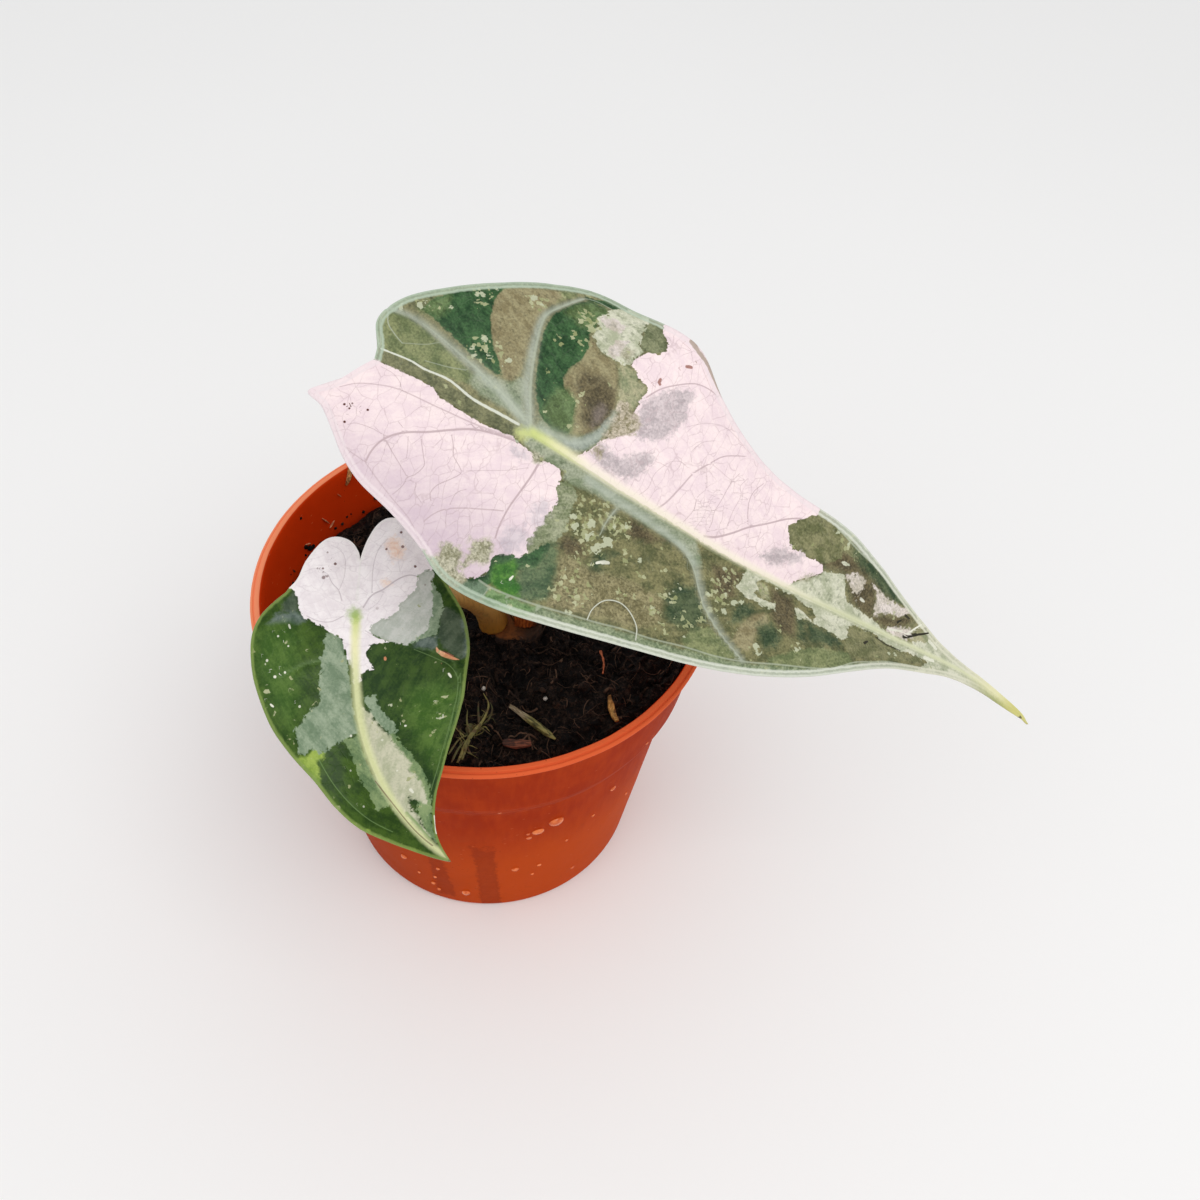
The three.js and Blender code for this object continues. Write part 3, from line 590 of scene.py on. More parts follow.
        [(54, 15), (60, 13.4), (66, 11.6), (72, 9.4), (76, 7.4), (80, 6), (78, 4.8), (74, 6.3), (70, 8), (66, 9.5),
         (60, 11.4), (55, 12.9)],
    ],
    "grey": [
        [(8.2, -3.6), (9, -3.3), (10.5, -3.4), (11.6, -4.4), (11.8, -6), (11.8, -8), (12, -9.5), (12.8, -10.2),
         (12, -11.5), (11.8, -13), (10.4, -14), (9.8, -15.4), (8.8, -16.8), (8, -17.8), (7.4, -16), (7.6, -14),
         (7.8, -11.5), (8.4, -9.8), (8.6, -8.2), (8.6, -6.8), (7.8, -5.5)],
    ],
    # A dull grey-green patch of the leaf's own colour
    "dull": [
        [(6.5, 28.3), (10, 27.8), (11.3, 26.5), (12.4, 24.7), (12.7, 23.4), (10.7, 22.3), (9.2, 22.2), (8.2, 23.4),
         (8.6, 25.2), (7.2, 26.2)],
    ],
    "pale": [
        [(1.5, 24), (2.4, 25.1), (3, 25.3), (2.7, 26.4), (4.2, 28), (6.5, 29), (8.4, 28), (8.2, 25), (8.6, 22.8),
         (9.6, 21.9), (9, 20.4), (9.1, 19), (8, 18.1), (6.8, 17.9), (5, 18.2), (3.9, 18.5), (3.3, 19.3), (2.1, 20.4),
         (2.3, 22)],
        [(41.9, 0), (41.8, -1.9), (41.2, -2.8), (40.5, -4.1), (41.6, -4.3), (43, -5), (44.6, -4.8), (46, -5.1),
         (48.3, -4.8), (48.4, -3.4), (46.6, -3.9), (45, -3.9), (44.2, -3.3), (44.6, -2.6), (45.6, -2.3),
         (44.4, -1.6), (44.3, -0.6), (46, -0.2), (52, -0.4), (54, -0.8), (56.2, -1.2), (56.5, -2.2), (55.4, -3.7),
         (57, -4), (60, -4.1), (61.8, -4.9), (62.8, -3.7), (63.2, -1.4), (64.6, -0.5), (69, -0.4), (72, -1.2),
         (76, -1.1), (82, -0.6), (82, 0.6), (42, 0.8)],
        [(52.2, -2.4), (53, -2.1), (54.3, -2.7), (55.2, -3), (55, -3.7), (54.2, -3.5), (53.2, -4.2), (52.6, -4.5),
         (52.3, -3.4)],
        [(50.8, 1.6), (52, 2.6), (53.5, 3.6), (55, 4.6), (55.8, 5.6), (57.4, 5.8), (59.4, 6.3), (59.8, 5.2),
         (60.8, 4), (61.6, 2.8), (63, 2.5), (65, 2.4), (66.4, 1.9), (68, 1.8), (69.5, 1.6), (71, 1), (77, 0.8),
         (77, -0.4), (50, -0.2)],
        [(57.6, 8), (59, 8.35), (60, 8), (59, 7.6)],
        [(76, 7), (80, 6), (86, 4.4), (92, 3), (120, 2), (120, -3), (92, -3.4), (86, -4), (80, -4.6), (78, -4.6),
         (80.5, -2.4), (82, -1), (79, -0.4), (78, 1.4), (81, 2.2), (83, 3), (80, 4.4), (78, 4)],
    ],
    "pink": [
        [(-24.7, 0), (-17, 0), (-15.3, -0.1), (-14, -1), (-11, -1.5), (-7, -1.8), (-4, -1.6), (-1.5, -1.3), (0, -2),
         (2.4, -2.1), (3.2, -3.4), (3.6, -3.2), (4.5, -2.3), (6, -2), (7.6, -2), (8.1, -3), (8.1, -5.5),
         (9.3, -6.8), (9, -8), (9.2, -9), (8.6, -10), (8.3, -13.5), (7.9, -15.2), (8.8, -16.8), (8.2, -17.9),
         (6.8, -18.2), (5, -19), (4.3, -20.3), (5, -21.5), (4.9, -22.3), (4.2, -23.3), (3, -24), (1.5, -24.7),
         (-1, -24.7), (-3.6, -24.6), (-6, -25), (-6, -29), (-20, -26), (-36, -12), (-32, 0)],
        [(9, 18.4), (9, 19.5), (9.4, 21), (10.4, 22), (12, 22.8), (12.9, 24), (12.4, 25.2), (11.3, 26.4),
         (10.4, 28), (12, 32), (30, 30), (55, 20), (50.4, 14.5), (50.8, 13.3), (49.3, 12.6), (48.6, 11.8),
         (47, 10.6), (46, 9.5), (46.2, 8.6), (47, 8.2), (47.4, 7), (48, 6.6), (50.5, 6.5), (52, 6.3), (54.8, 6.3),
         (55.2, 5), (53.5, 3.6), (52, 2.6), (50.8, 1.6), (50, 0.4), (30, 0.4), (8.2, 0.6), (9.2, 2.2), (10, 3.6),
         (10.6, 5.6), (11.6, 6.8), (13.2, 8), (14.2, 9.4), (14.4, 10.8), (12.7, 11.4), (13, 13), (13, 15),
         (13.3, 16.6), (12.6, 17), (11.4, 17.2), (10.2, 18.4)],
    ],
    # Soft greyish painted reflections over the pink of the near half
    "veil": [
        [(6.8, -8), (8.4, -8), (8.8, -9.8), (8.4, -11.6), (8.2, -13.2), (6.6, -12.4), (6.2, -10)],
        [(4.2, -14.6), (6.6, -13.8), (8, -14.2), (7.9, -16), (7, -17.8), (5.2, -18.6), (4.2, -17.6), (4.4, -16)],
        [(-0.8, -2.8), (1.6, -2.6), (2.4, -3.4), (0.6, -4.2), (-0.8, -3.8)],
    ],
    "stipple": [
        [(13.5, 13.5), (14, 15.5), (15.5, 17.5), (17.3, 19.4), (19.3, 20.4), (20.9, 19.8), (20.5, 18), (21.3, 16.5),
         (21, 14.5), (20.3, 13), (19.8, 11.5), (18, 10), (15.5, 9), (14.6, 10), (13.8, 12)],
        [(11, 5.5), (13.5, 4.4), (15.5, 5.5), (17, 7.2), (19, 8.2), (19.9, 7), (18.8, 5), (18.3, 3.5), (17, 2.4),
         (14, 1.9), (10.6, 2.4), (10.3, 4)],
        [(43.5, 3.3), (45.5, 5.3), (48, 6.2), (51, 6.2), (50, 4.8), (47.5, 3.4), (45, 2.6)],
    ],
    "blush": [
        [(65.4, 7), (67, 6.8), (68.5, 6.1), (71, 6), (73, 6), (75, 5.9), (75.4, 5.2), (73.4, 4.4), (70, 3.6),
         (68.4, 2.6), (67.8, 3), (67.4, 4.4), (67, 5.8)],
        [(59.6, 6.3), (61.5, 7.2), (63.4, 7.3), (64, 5), (63, 4), (62, 4.4), (61.2, 5.2)],
        [(5, 18.6), (5, 20.6), (5.6, 22), (7, 22.2), (7, 20), (6.6, 18.4)],
        [(1.8, 23.9), (2.6, 24.8), (4, 25.2), (6, 25), (5.6, 23), (4, 22.8), (3, 23.2)],
        [(71.4, 1.6), (74, 2.6), (76.4, 3.2), (78, 2), (76.4, 1), (73, 0.8)],
    ],
    "freckle": [
        [(10.2, 12.6), (11.6, 13.2), (12.6, 12.4), (14.2, 12), (15.1, 11), (14.8, 9.4), (13.3, 8), (11.8, 6.6),
         (10.5, 5), (10.4, 8.6)],
        [(10.4, 4.8), (12, 4.4), (12.4, 3.4), (11.4, 2.8), (10.2, 3.4)],
    ],
    "sage_bits": [
        [(6.8, 21.4), (8.4, 21.2), (8.7, 19.4), (7.6, 18.6), (6.9, 19.6)],
        [(0.3, -19.6), (0.8, -18.7), (2.4, -17.8), (3.4, -17.9), (3.9, -19.4), (4.3, -20.9), (3.9, -21.6),
         (2.4, -21.9), (1.5, -22.3), (1.3, -23.4), (0.2, -23.5), (0.4, -21.8), (0.9, -20.8), (0.2, -20.2)],
        [(-4, -22), (-3.2, -21.4), (-1.4, -21.2), (-0.3, -21.4), (0, -23), (0.2, -24.1), (2, -24.5), (2.4, -25),
         (2, -26.5), (-2, -26.5), (-6.4, -25), (-6.2, -24), (-4.4, -24.2), (-3.6, -23.4)],
        [(-0.6, -19.2), (-0.1, -19), (-0.1, -20.2), (-0.5, -20.2)],
        [(2.2, -1.8), (3.2, -3.5), (3.7, -3.2), (4.6, -2.2), (4, -1.6)],
        [(51.6, 2.6), (53, 3.8), (54.4, 4.4), (53.6, 3.2), (52.4, 2.4)],
    ],
    "seam": [
        [(-24.8, -0.1), (-24.4, 1.6), (-20, 1.8), (-15, 1.8), (-12, 1.3), (-9, 0.7), (-6, 0.6), (-2, 0.8), (0, 0),
         (-1.4, -1.2), (-4, -1.6), (-7, -1.8), (-11, -1.5), (-14, -1), (-15.3, -0.1), (-17, 0)],
    ],
}

# Veins: points, half widths at the start and at the end, and strength
LARGE_BROAD_VEINS = [
    ([(-26, 8.3), (-23, 8.5), (-20.5, 8.2), (-17, 7.3), (-13, 6.2), (-9, 5), (-4, 3.4), (-1, 2), (0, 0.8)],
     0.36, 1.1, 0.85),
    ([(-1.2, 26.4), (-3.3, 23), (-5, 20), (-5.3, 17.5), (-4.8, 14), (-3.9, 10), (-2.8, 6.8), (-1.2, 4), (0.2, 1.2)],
     0.28, 0.95, 0.95),
    ([(10.3, 11), (10.4, 8.5), (9.9, 6), (8.6, 4), (7, 3), (4, 2.4), (1, 1.8)], 0.28, 0.9, 0.75),
    ([(44.5, -15.9), (42.5, -14.6), (40, -13), (38, -11.2), (36.5, -9.5), (35, -7), (33.6, -4.6), (32, -3),
      (29, -1.9), (22, -1.2), (12, -0.8)], 0.3, 0.85, 0.8),
    ([(17.2, -8.4), (17.4, -5), (18, -2.5)], 0.14, 0.4, 0.5),
]
LARGE_FINE_VEINS = [
    ([(-25.9, 8.2), (-25, 6), (-23.5, 4.8), (-22, 4)], 0.12, 0.08, 0.7),
    ([(-22, 4), (-19, 5.3), (-17, 6.8)], 0.1, 0.08, 0.4),
    ([(-12, 4.6), (-15, 3.7), (-18, 3.1)], 0.12, 0.08, 0.45),
    ([(-20.5, 8.3), (-17, 7.5), (-13, 6.4), (-9, 5.2), (-4, 3.6), (-1, 2.2)], 0.12, 0.2, 0.6),
    ([(-1.2, 26.5), (-3.2, 23.2), (-4.8, 20.2), (-5, 17.5), (-4.4, 14), (-3.4, 10), (-2.2, 6.8), (-0.8, 4), (0.4, 1.6)],
     0.14, 0.2, 0.75),
    ([(-1.2, 26.5), (0.6, 27.1), (3, 26.9)], 0.12, 0.1, 0.5),
    ([(44.5, -15.9), (42.5, -14.7), (40, -13.1), (38, -11.4), (36.4, -9.7), (34.8, -7.2), (33.4, -4.9), (31.6, -3.2)],
     0.14, 0.2, 0.7),
    ([(17.2, -8.4), (17.4, -5), (18, -2.5)], 0.09, 0.14, 0.6),
    ([(-1.5, -1.5), (-5, -2.2), (-9, -2.7), (-14, -2.9), (-19.5, -3.1), (-23, -4), (-25.5, -5), (-27.5, -6.6)],
     0.17, 0.07, 0.7),
    ([(-0.5, -1.7), (-4, -2.4), (-7.2, -3.5), (-10, -5.3), (-13, -7.4), (-15.5, -8.8), (-17.3, -10.2), (-18.6, -12),
      (-19.2, -14), (-19.3, -15.8)], 0.22, 0.13, 1),
    ([(4, -3.2), (3.8, -6), (3.4, -9), (3, -12), (3, -15), (3.4, -17.4)], 0.18, 0.12, 1),
    ([(-9.8, -6), (-8.6, -8), (-8.2, -9), (-6.6, -10.2), (-6, -11), (-7, -12.6), (-8.4, -14.4), (-8.8, -16),
      (-8.2, -17)], 0.07, 0.07, 0.75),
    ([(2.8, -12.8), (0, -14), (-3, -15.4), (-5.6, -17), (-7, -18.6), (-7.8, -20.2)], 0.1, 0.08, 0.8),
    ([(-14, -8), (-13, -9.8), (-12, -11.4), (-11.4, -12.6), (-12, -14.4), (-13, -15.4)], 0.07, 0.06, 0.75),
    ([(-18.2, -11), (-20.5, -10.8), (-23, -11), (-24, -11.7)], 0.06, 0.05, 0.6),
    ([(-18, -11.6), (-16.2, -13), (-14.2, -14.4), (-13, -15.4), (-13, -17), (-13.8, -18.8)], 0.07, 0.06, 0.7),
    ([(-27.8, -9.8), (-26, -12), (-24.5, -13.8), (-22.6, -15.2), (-19.4, -16), (-16.6, -17.6), (-13.5, -19.2),
      (-10, -20.8), (-7, -23)], 0.08, 0.08, 0.55),
    ([(-16, -8.9), (-17.6, -8)], 0.06, 0.05, 0.6),
    ([(-15.4, -9.4), (-14.6, -11.4), (-14.2, -12.8)], 0.05, 0.05, 0.5),
    ([(-19.4, -3.1), (-19.8, -2), (-21.4, -1), (-23.4, -0.7)], 0.06, 0.05, 0.55),
    ([(-6, -10.6), (-3, -8.8), (0, -7), (2.8, -4.8)], 0.05, 0.06, 0.5),
    ([(-4, -12.6), (-5.3, -14), (-5.4, -16)], 0.05, 0.05, 0.55),
    ([(-5.6, -16.6), (-5, -18.4), (-4.4, -19.6)], 0.06, 0.05, 0.5),
    ([(-11.4, -15.4), (-10.8, -17), (-9.2, -18)], 0.06, 0.05, 0.55),
    ([(-2.6, -15.2), (-1, -18), (-1.2, -19.4)], 0.05, 0.05, 0.4),
    ([(13.4, 15.2), (14.9, 17.8), (17.2, 20), (20, 21.8), (22.6, 22.3), (24.4, 22.2)], 0.13, 0.1, 0.9),
    ([(24, 1.3), (24.8, 3), (25.6, 6), (26.4, 9), (28.2, 12), (29.6, 14), (31.6, 15.4), (33.8, 16.6)], 0.15, 0.08, 0.85),
    ([(33, 1.5), (35, 2.4), (37.4, 4.4), (39.3, 6.2), (42.5, 8.4), (45.4, 10.4), (48, 11.6)], 0.18, 0.12, 1),
    ([(39.2, 6.3), (38, 8.4), (37.4, 10.2), (37.6, 12), (38.8, 14)], 0.1, 0.06, 0.8),
    ([(20.2, 1.4), (21, 3.2), (20.8, 5.4), (21.4, 7.2), (22.4, 8.8), (24, 9.4), (26.3, 8.8)], 0.06, 0.05, 0.45),
    ([(26.2, 9), (25, 10.6), (24.4, 11.6), (24.8, 13), (25.6, 14.4), (27.5, 15.8)], 0.06, 0.05, 0.55),
    ([(28.8, 1.6), (29.3, 4), (28.8, 6), (29.5, 8), (28.6, 10)], 0.06, 0.05, 0.5),
    ([(33.2, 2), (33.1, 4), (32.6, 5.4), (32.8, 8), (33, 11), (33.8, 13.4)], 0.07, 0.06, 0.65),
    ([(28.4, 12), (31, 11.7), (33, 11.4)], 0.05, 0.05, 0.45),
    ([(31, 1.6), (31.3, 4), (30.8, 6.4), (31.2, 9)], 0.05, 0.04, 0.4),
    ([(35.9, 4), (35.5, 7), (35.6, 10), (34.8, 11.4), (35.6, 13.4)], 0.06, 0.05, 0.55),
    ([(21.8, 14.8), (24, 16.8), (27, 18.4), (30, 18.6), (34, 17.4)], 0.06, 0.05, 0.45),
    ([(41, 7.6), (41.6, 10), (41.2, 12.6)], 0.05, 0.04, 0.4),
    ([(42, 2.2), (43, 4), (42.6, 6)], 0.05, 0.04, 0.35),
    ([(4.4, -23.8), (6.4, -23.9), (10, -23.5), (14, -22.8), (18, -21.9), (22, -21.1), (26, -20.1), (30, -19.4),
      (35, -18), (40, -17), (44, -15.9), (50, -13.8), (56, -12), (60, -10.5), (64, -7.9), (68, -6.3), (72, -4.7),
      (80, -2.9)], 0.16, 0.12, 0.6),
    ([(6.4, -23.9), (6.2, -25.4)], 0.1, 0.1, 0.5),
    ([(9.2, -23.7), (9.6, -24.4), (10.4, -25)], 0.08, 0.08, 0.45),
    ([(14.2, -22.7), (14.1, -23.6), (14.6, -24.6)], 0.09, 0.09, 0.45),
    ([(-25.9, 8.2), (-26.2, 6), (-25.2, 3.6), (-24.7, 2)], 0.12, 0.12, 0.6),
    ([(55, 12.6), (60, 11), (66, 9.6), (72, 7.6), (76, 6)], 0.16, 0.14, 0.7),
]
# The white suture from the seat to the notch
LARGE_SUTURE = [
    ([(-24.4, 1.9), (-20, 2.1), (-17.5, 1.9), (-14, 2.1), (-12, 1.75), (-10, 1.2), (-8, 0.95), (-5, 0.95),
      (-1.5, 1)], 0.13, 0.24, 0.9),
]
# Scabs and dots: brown where the strength is positive, white where it is negative
LARGE_MARKS = [
    ([(17, 23.4), (17.8, 23.7)], 0.34, 0.28, 0.85), ([(14.1, 19.2), (14, 18.7), (14.4, 18.4)], 0.26, 0.24, 0.85),
    ([(-25.7, -9)], 0.19, 0.19, 1), ([(-24.7, -8.4)], 0.15, 0.15, 0.8), ([(-24.8, -9.3)], 0.18, 0.18, 0.95),
    ([(-24.6, -11.5)], 0.2, 0.2, 1), ([(-22.3, -8.35)], 0.2, 0.2, 1),
    ([(19.3, -11.9), (20, -11.6)], 0.34, 0.26, -0.75), ([(18.5, -12.6), (18.8, -12.3)], 0.22, 0.18, -1),
    ([(8.5, -21.6), (8.7, -20.9)], 0.2, 0.16, -1),
    ([(15.6, 27.6), (18, 26.6), (20, 25.9), (22, 24.5), (23.6, 23.4), (26, 22.3)], 0.42, 0.2, 0.7),
    ([(75.8, 1.5), (77, 2), (77.9, 2.5), (79, 3), (80.7, 3.8)], 0.34, 0.16, 1),
    ([(73.4, 3.2), (74.1, 3.8)], 0.26, 0.14, 1), ([(74.6, 4.8), (75.8, 4.6)], 0.28, 0.12, 0.9),
    ([(66.6, -3.2), (67.6, -2.4)], 0.26, 0.16, 1), ([(69.6, -0.8), (72, -1.2), (75.6, -1.2)], 0.14, 0.12, 0.8),
    ([(76, 1.7), (77.4, 3.4), (78.6, 4.6)], 0.22, 0.14, -1), ([(72, 1.6), (75.2, 2.2)], 0.22, 0.14, -0.8),
    ([(81.4, 2.7), (83.8, 2)], 0.28, 0.22, -0.8), ([(81.2, -0.4), (83.6, -0.3)], 0.3, 0.22, -0.9),
    ([(64.2, 4), (65.2, 3.8)], 0.26, 0.2, -0.8), ([(113, -0.4), (113.8, -0.5)], 0.32, 0.2, 0.85),
]
# Pale splashes, as centres and radii
LARGE_SPLASHES = [
    (15.3, -7.3, 0.75), (18.7, -8.6, 0.85), (17.4, -10.6, 0.7), (18.2, -9.6, 0.5), (12.5, -7.8, 0.5), (13.4, -9.2, 0.6),
    (15.6, -9.6, 0.55), (16.2, -8.4, 0.4), (40.9, -6.9, 0.5), (42.2, -6, 0.32), (39.6, -9.2, 0.5), (45.8, -12.6, 0.55),
    (46.5, -13.3, 0.5), (28.9, -14.6, 0.5), (30.8, -11, 0.4), (31.6, -9.4, 0.4), (34.6, -16.2, 0.35), (24.2, -8.6, 0.42),
    (15.1, -15.6, 0.28), (-11.5, 10.2, 0.55), (-24.2, 9.2, 0.38), (-21.8, 10.7, 0.5), (-21.2, 11.4, 0.3),
    (-15.4, 16.7, 0.4), (-14.4, 16.9, 0.3), (-13, 19, 0.3), (-7.7, 20.9, 0.55), (-9.8, 8.3, 0.34), (-12.6, 8, 0.3),
    (-7, 9, 0.3), (-17.8, 12.5, 0.3), (-11.9, 7.2, 0.3), (-7.4, 8, 0.28), (-6, 20.4, 0.3), (20.6, -6.4, 0.32),
    (18.9, -5.6, 0.3), (20.4, -4.4, 0.34), (36.6, -7.6, 0.3), (38.4, -1.6, 0.35), (39.2, -6.2, 0.3), (49.5, -7.5, 0.34),
    (52.8, -9.8, 0.32), (55.3, 12.1, 0.35), (58, 11.1, 0.4), (73.8, -2.3, 0.35), (72.4, -3, 0.3), (17.8, -21.6, 0.35),
]
# Where small pale specks crowd, as centres and radii
LARGE_SPECKS = [
    (-14.6, 16.8, 1.8), (-21.6, 11, 1.4), (-11.4, 8.6, 2), (-9.6, 8.4, 1.8), (-7, 8.6, 1.4), (-7, 20.4, 1.8),
    (-1.6, 16.8, 1.2), (0.6, 18.4, 1.6), (0.4, 22.6, 2.4), (0.6, 5.4, 0.8), (14.6, -5, 3), (15, -9, 2.8),
    (19.6, -5.4, 2.6), (12.6, -8.8, 1.2), (18.6, -11.8, 1.2), (16.6, -12.8, 1.6), (22.6, -9, 1), (30.6, -11, 1.6),
    (34, -14.4, 1.6), (29, -15, 1.4), (16.6, -18.6, 3.2), (24, -15, 1.6), (38.4, -6.4, 2.8), (39.4, -2.4, 1.4),
    (37.4, -9.6, 1.6), (36.6, -12.6, 1.6), (42, -11.6, 1.2), (49.6, -7.6, 1), (58, 11.4, 1.6), (48.8, 7.6, 1),
    (52.6, -10, 1), (31, -17, 1.4), (5, 9.4, 1.6), (46.4, -1.6, 1.4),
]

# The small leaf, in the same way
SMALL_SECTORS = {
    "shade": [
        [(-1.4, 14.6), (-0.5, 16.4), (1, 17.9), (4, 19), (7, 18.8), (9, 18.2), (9.3, 17), (8, 16), (7, 14.7),
         (4.4, 13.8), (1, 13.9)],
        [(-3.2, -10.2), (-1.8, -9.2), (0.2, -8.9), (0.4, -11.8), (-1, -12)],
    ],
    # Painted highlights: a bluish sheen on the near half and the lighter top of the shaded far margin; the last outline
    # is a teal patch of the leaf's own
    "mist": [
        [(0.8, 18.2), (4, 19.2), (9, 18.6), (8.8, 17.9), (4, 18.1), (1.6, 17.4)],
        [(0.3, -8.8), (1.6, -7.6), (2.4, -9), (2, -11.6), (2.4, -14), (0.6, -12.6), (0.2, -10.4)],
        [(4.4, 13.7), (6.6, 13.7), (7, 12.8), (6.6, 11), (6.3, 9.4), (5.3, 10.2), (4.5, 12)],
    ],
    "fresh": [
        [(14, 9), (18, 7.6), (24, 8), (30, 8.4), (33, 9), (30, 11.5), (24, 14.6), (17, 16.6), (13, 14)],
        [(2.4, -10), (5, -8.4), (9, -8.6), (15, -9), (18, -10.4), (14, -13), (8, -15.4), (3, -15)],
    ],
    "lime": [
        [(21.3, -6.1), (22, -6.6), (22.3, -7.7), (24.3, -8.2), (25.4, -8.7), (24, -11), (20.8, -11.4), (21, -9),
         (20.4, -7.5)],
        [(25, -9.2), (28.6, -8), (32.5, -6.5), (36.6, -4.2), (41, -1.8), (41, -3.4), (34, -8), (26, -10.4)],
    ],
    "sage": [
        [(-6.2, 12.4), (-4.5, 13.3), (-3, 14.1), (-1.2, 14.6), (0, 14.1), (2.4, 14), (4.1, 13.6), (4.6, 12.2),
         (4.6, 11.2), (5.6, 10), (6.1, 8.6), (4.6, 9), (2, 11), (-3, 11.6)],
        [(3.6, -4.2), (3.7, -3), (4.6, -2), (5.5, -1.5), (8, -1), (12, -0.6), (20, -0.2), (20.4, -2.5), (20.7, -5),
         (21.4, -6.2), (21.2, -7), (20.5, -7.5), (21, -9), (20.6, -10), (18, -9.9), (17.3, -9.2), (16, -8),
         (15, -6), (14, -5.5), (12.5, -5.3), (11.8, -5.8), (10.8, -5.4), (9.5, -4.9), (8, -5.3), (6.5, -4.7),
         (5, -4.6)],
        [(14.2, 1.2), (14.4, 3.3), (16, 3.7), (17.5, 4), (19, 4.8), (20.5, 5.7), (21.4, 5.5), (22, 4.4), (18, 2.4)],
    ],
    "olive": [
        [(20.2, -0.4), (25, -0.3), (28, -0.4), (30, 0.2), (33, 0.8), (36, 0.6), (35.3, 0), (34.3, -0.6),
         (33.5, -0.5), (32.7, -0.4), (32.2, -1.5), (31.9, -2.9), (30.5, -2.4), (28.6, -2.3), (26.6, -2.7),
         (24, -2.3), (22, -2.5), (20.4, -2.9)],
        [(21.3, 4.6), (23, 5.3), (25, 5.9), (27, 6.4), (30, 6.9), (32, 6.8), (34.5, 6), (36.8, 4.9), (39, 3.4),
         (43, 1.4), (41, 1), (36, 2.6), (33.5, 4.6), (29, 4.6), (24, 4)],
    ],
    "cream": [
        [(15.5, 0.8), (17.5, 2.2), (19.5, 3), (21.5, 3.9), (24, 4.6), (26, 5.2), (28.5, 5.5), (29, 4.9), (31, 5.4),
         (33.5, 5.5), (35.4, 4.8), (36.6, 4.2), (34.6, 3.4), (33.4, 2.6), (35, 1.8), (38, 1.8), (42, 1), (35, 0.5),
         (28, -0.2)],
    ],
    "pale": [
        [(-7.7, 12.4), (-6.2, 12.5), (-5, 12.1), (-3, 12.9), (-1, 12.9), (0.5, 12.6), (2.5, 12.3), (4, 11.4),
         (4.6, 10.6), (5.3, 9.8), (5.9, 8.6), (5.6, 7.5), (5.4, 5.6), (4.6, 4.2), (3.8, 2.6), (3, 2), (0, 4),
         (-4, 7.4), (-8, 9.6)],
        [(3.4, -2), (5, -1.2), (9, -0.8), (9, 0.4), (3, 0.2)],
    ],
    "pink": [
        [(-20, -1), (-20, 12), (-8, 12.8), (-7.6, 11), (-6.8, 10), (-4, 9.8), (-2.9, 8.8), (-1.4, 7.4), (0, 7.2),
         (1.1, 6), (1.4, 4.4), (2.4, 3), (3.2, 2.3), (3.8, 2.7), (4.7, 4.3), (5.3, 5.6), (5.6, 3.6), (5.8, 2.6),
         (6.6, 2.1), (7.5, 2), (8.4, 2.5), (9.2, 2.8), (9.8, 3.4), (10, 2), (10.5, 1.2), (12, 0.9), (12, 0), (0, -1)],
        [(-20, 1), (-16, -9), (-8, -11.4), (-3.4, -11.3), (-3, -10), (-1.8, -9.3), (0, -9), (1.2, -8), (1.8, -7.2),
         (2.2, -6), (2.9, -4.6), (3.6, -4.2), (3.8, -3), (4.6, -1.8), (8, -0.9), (8, 0), (0, 1)],
    ],
    "stain": [
        [(-13.4, 5), (-12.4, 6.6), (-11, 7.2), (-9.2, 7), (-9, 5.6), (-10.4, 4.8), (-12, 4.2)],
        [(-6, 5), (-5, 5.6), (-4.6, 4.6), (-5.6, 4.2)],
    ],
    "flake": [
        [(6.1, 13.4), (7.2, 13.9), (7.8, 15), (8.7, 16.2), (9.6, 17.4), (9.4, 16), (8.5, 14.3), (7.6, 13.5)],
        [(9.5, 14.2), (10.3, 14.3), (10, 14)], [(7.8, 5.1), (8.3, 5.5), (8.9, 5.4), (8.4, 5)],
    ],
}
SMALL_BROAD_VEINS = [
    ([(10.2, -11.6), (9.3, -9.5), (8.5, -7.4), (8.2, -5.4)], 0.14, 0.2, 0.45),
    ([(13, 16.5), (9.6, 16), (7.4, 13), (6.6, 10.4)], 0.12, 0.16, 0.3),
]
SMALL_FINE_VEINS = [
    ([(-0.8, 1.4), (-2.8, 2.6), (-4, 4.6), (-5.8, 6.8), (-6.6, 8.6), (-6.4, 10.2)], 0.15, 0.09, 0.9),
    ([(-3.4, 2.6), (-8, 2.4), (-11, 3), (-13, 4.4)], 0.08, 0.05, 0.6),
    ([(3.2, 1.8), (4.4, 3.8), (5.2, 5.8)], 0.09, 0.07, 0.6),
    ([(-1.8, -2.2), (-3.4, -2.8), (-4.6, -4), (-6, -4.8)], 0.1, 0.06, 0.75),
    ([(-3.4, -2.8), (-6, -2.2), (-9, -2.4), (-10.6, -3.4), (-11.4, -5)], 0.06, 0.05, 0.5),
    ([(0.8, -1.8), (1.8, -3.6), (1.8, -5.6), (1, -7.6)], 0.09, 0.06, 0.7),
    ([(-4, 4.8), (-1.6, 3.8), (-0.2, 2.2)], 0.05, 0.05, 0.4),
    ([(-7, 7), (-10, 6.4), (-12, 7.6)], 0.05, 0.04, 0.4), ([(-6, -4.8), (-7, -7), (-6.2, -9)], 0.05, 0.04, 0.4),
    ([(6.8, 9.8), (8.6, 13), (11, 15.9), (14, 16.6), (20, 15.2), (26, 12.8), (31, 9.8), (35, 6)], 0.08, 0.1, 0.55),
    ([(12, 17.2), (17, 16.6), (23, 14.8), (29, 12)], 0.08, 0.08, 0.4),
    ([(22, -7.4), (27, -6.4), (32, -4.8), (36, -2.8)], 0.1, 0.08, 0.6),
    ([(35.4, 1), (38, 1.15), (41.6, 1)], 0.26, 0.2, 1),
]
SMALL_SUTURE = [([(-9, 0.1), (-6, 0.2), (-2, 0.2)], 0.12, 0.3, 0.2)]
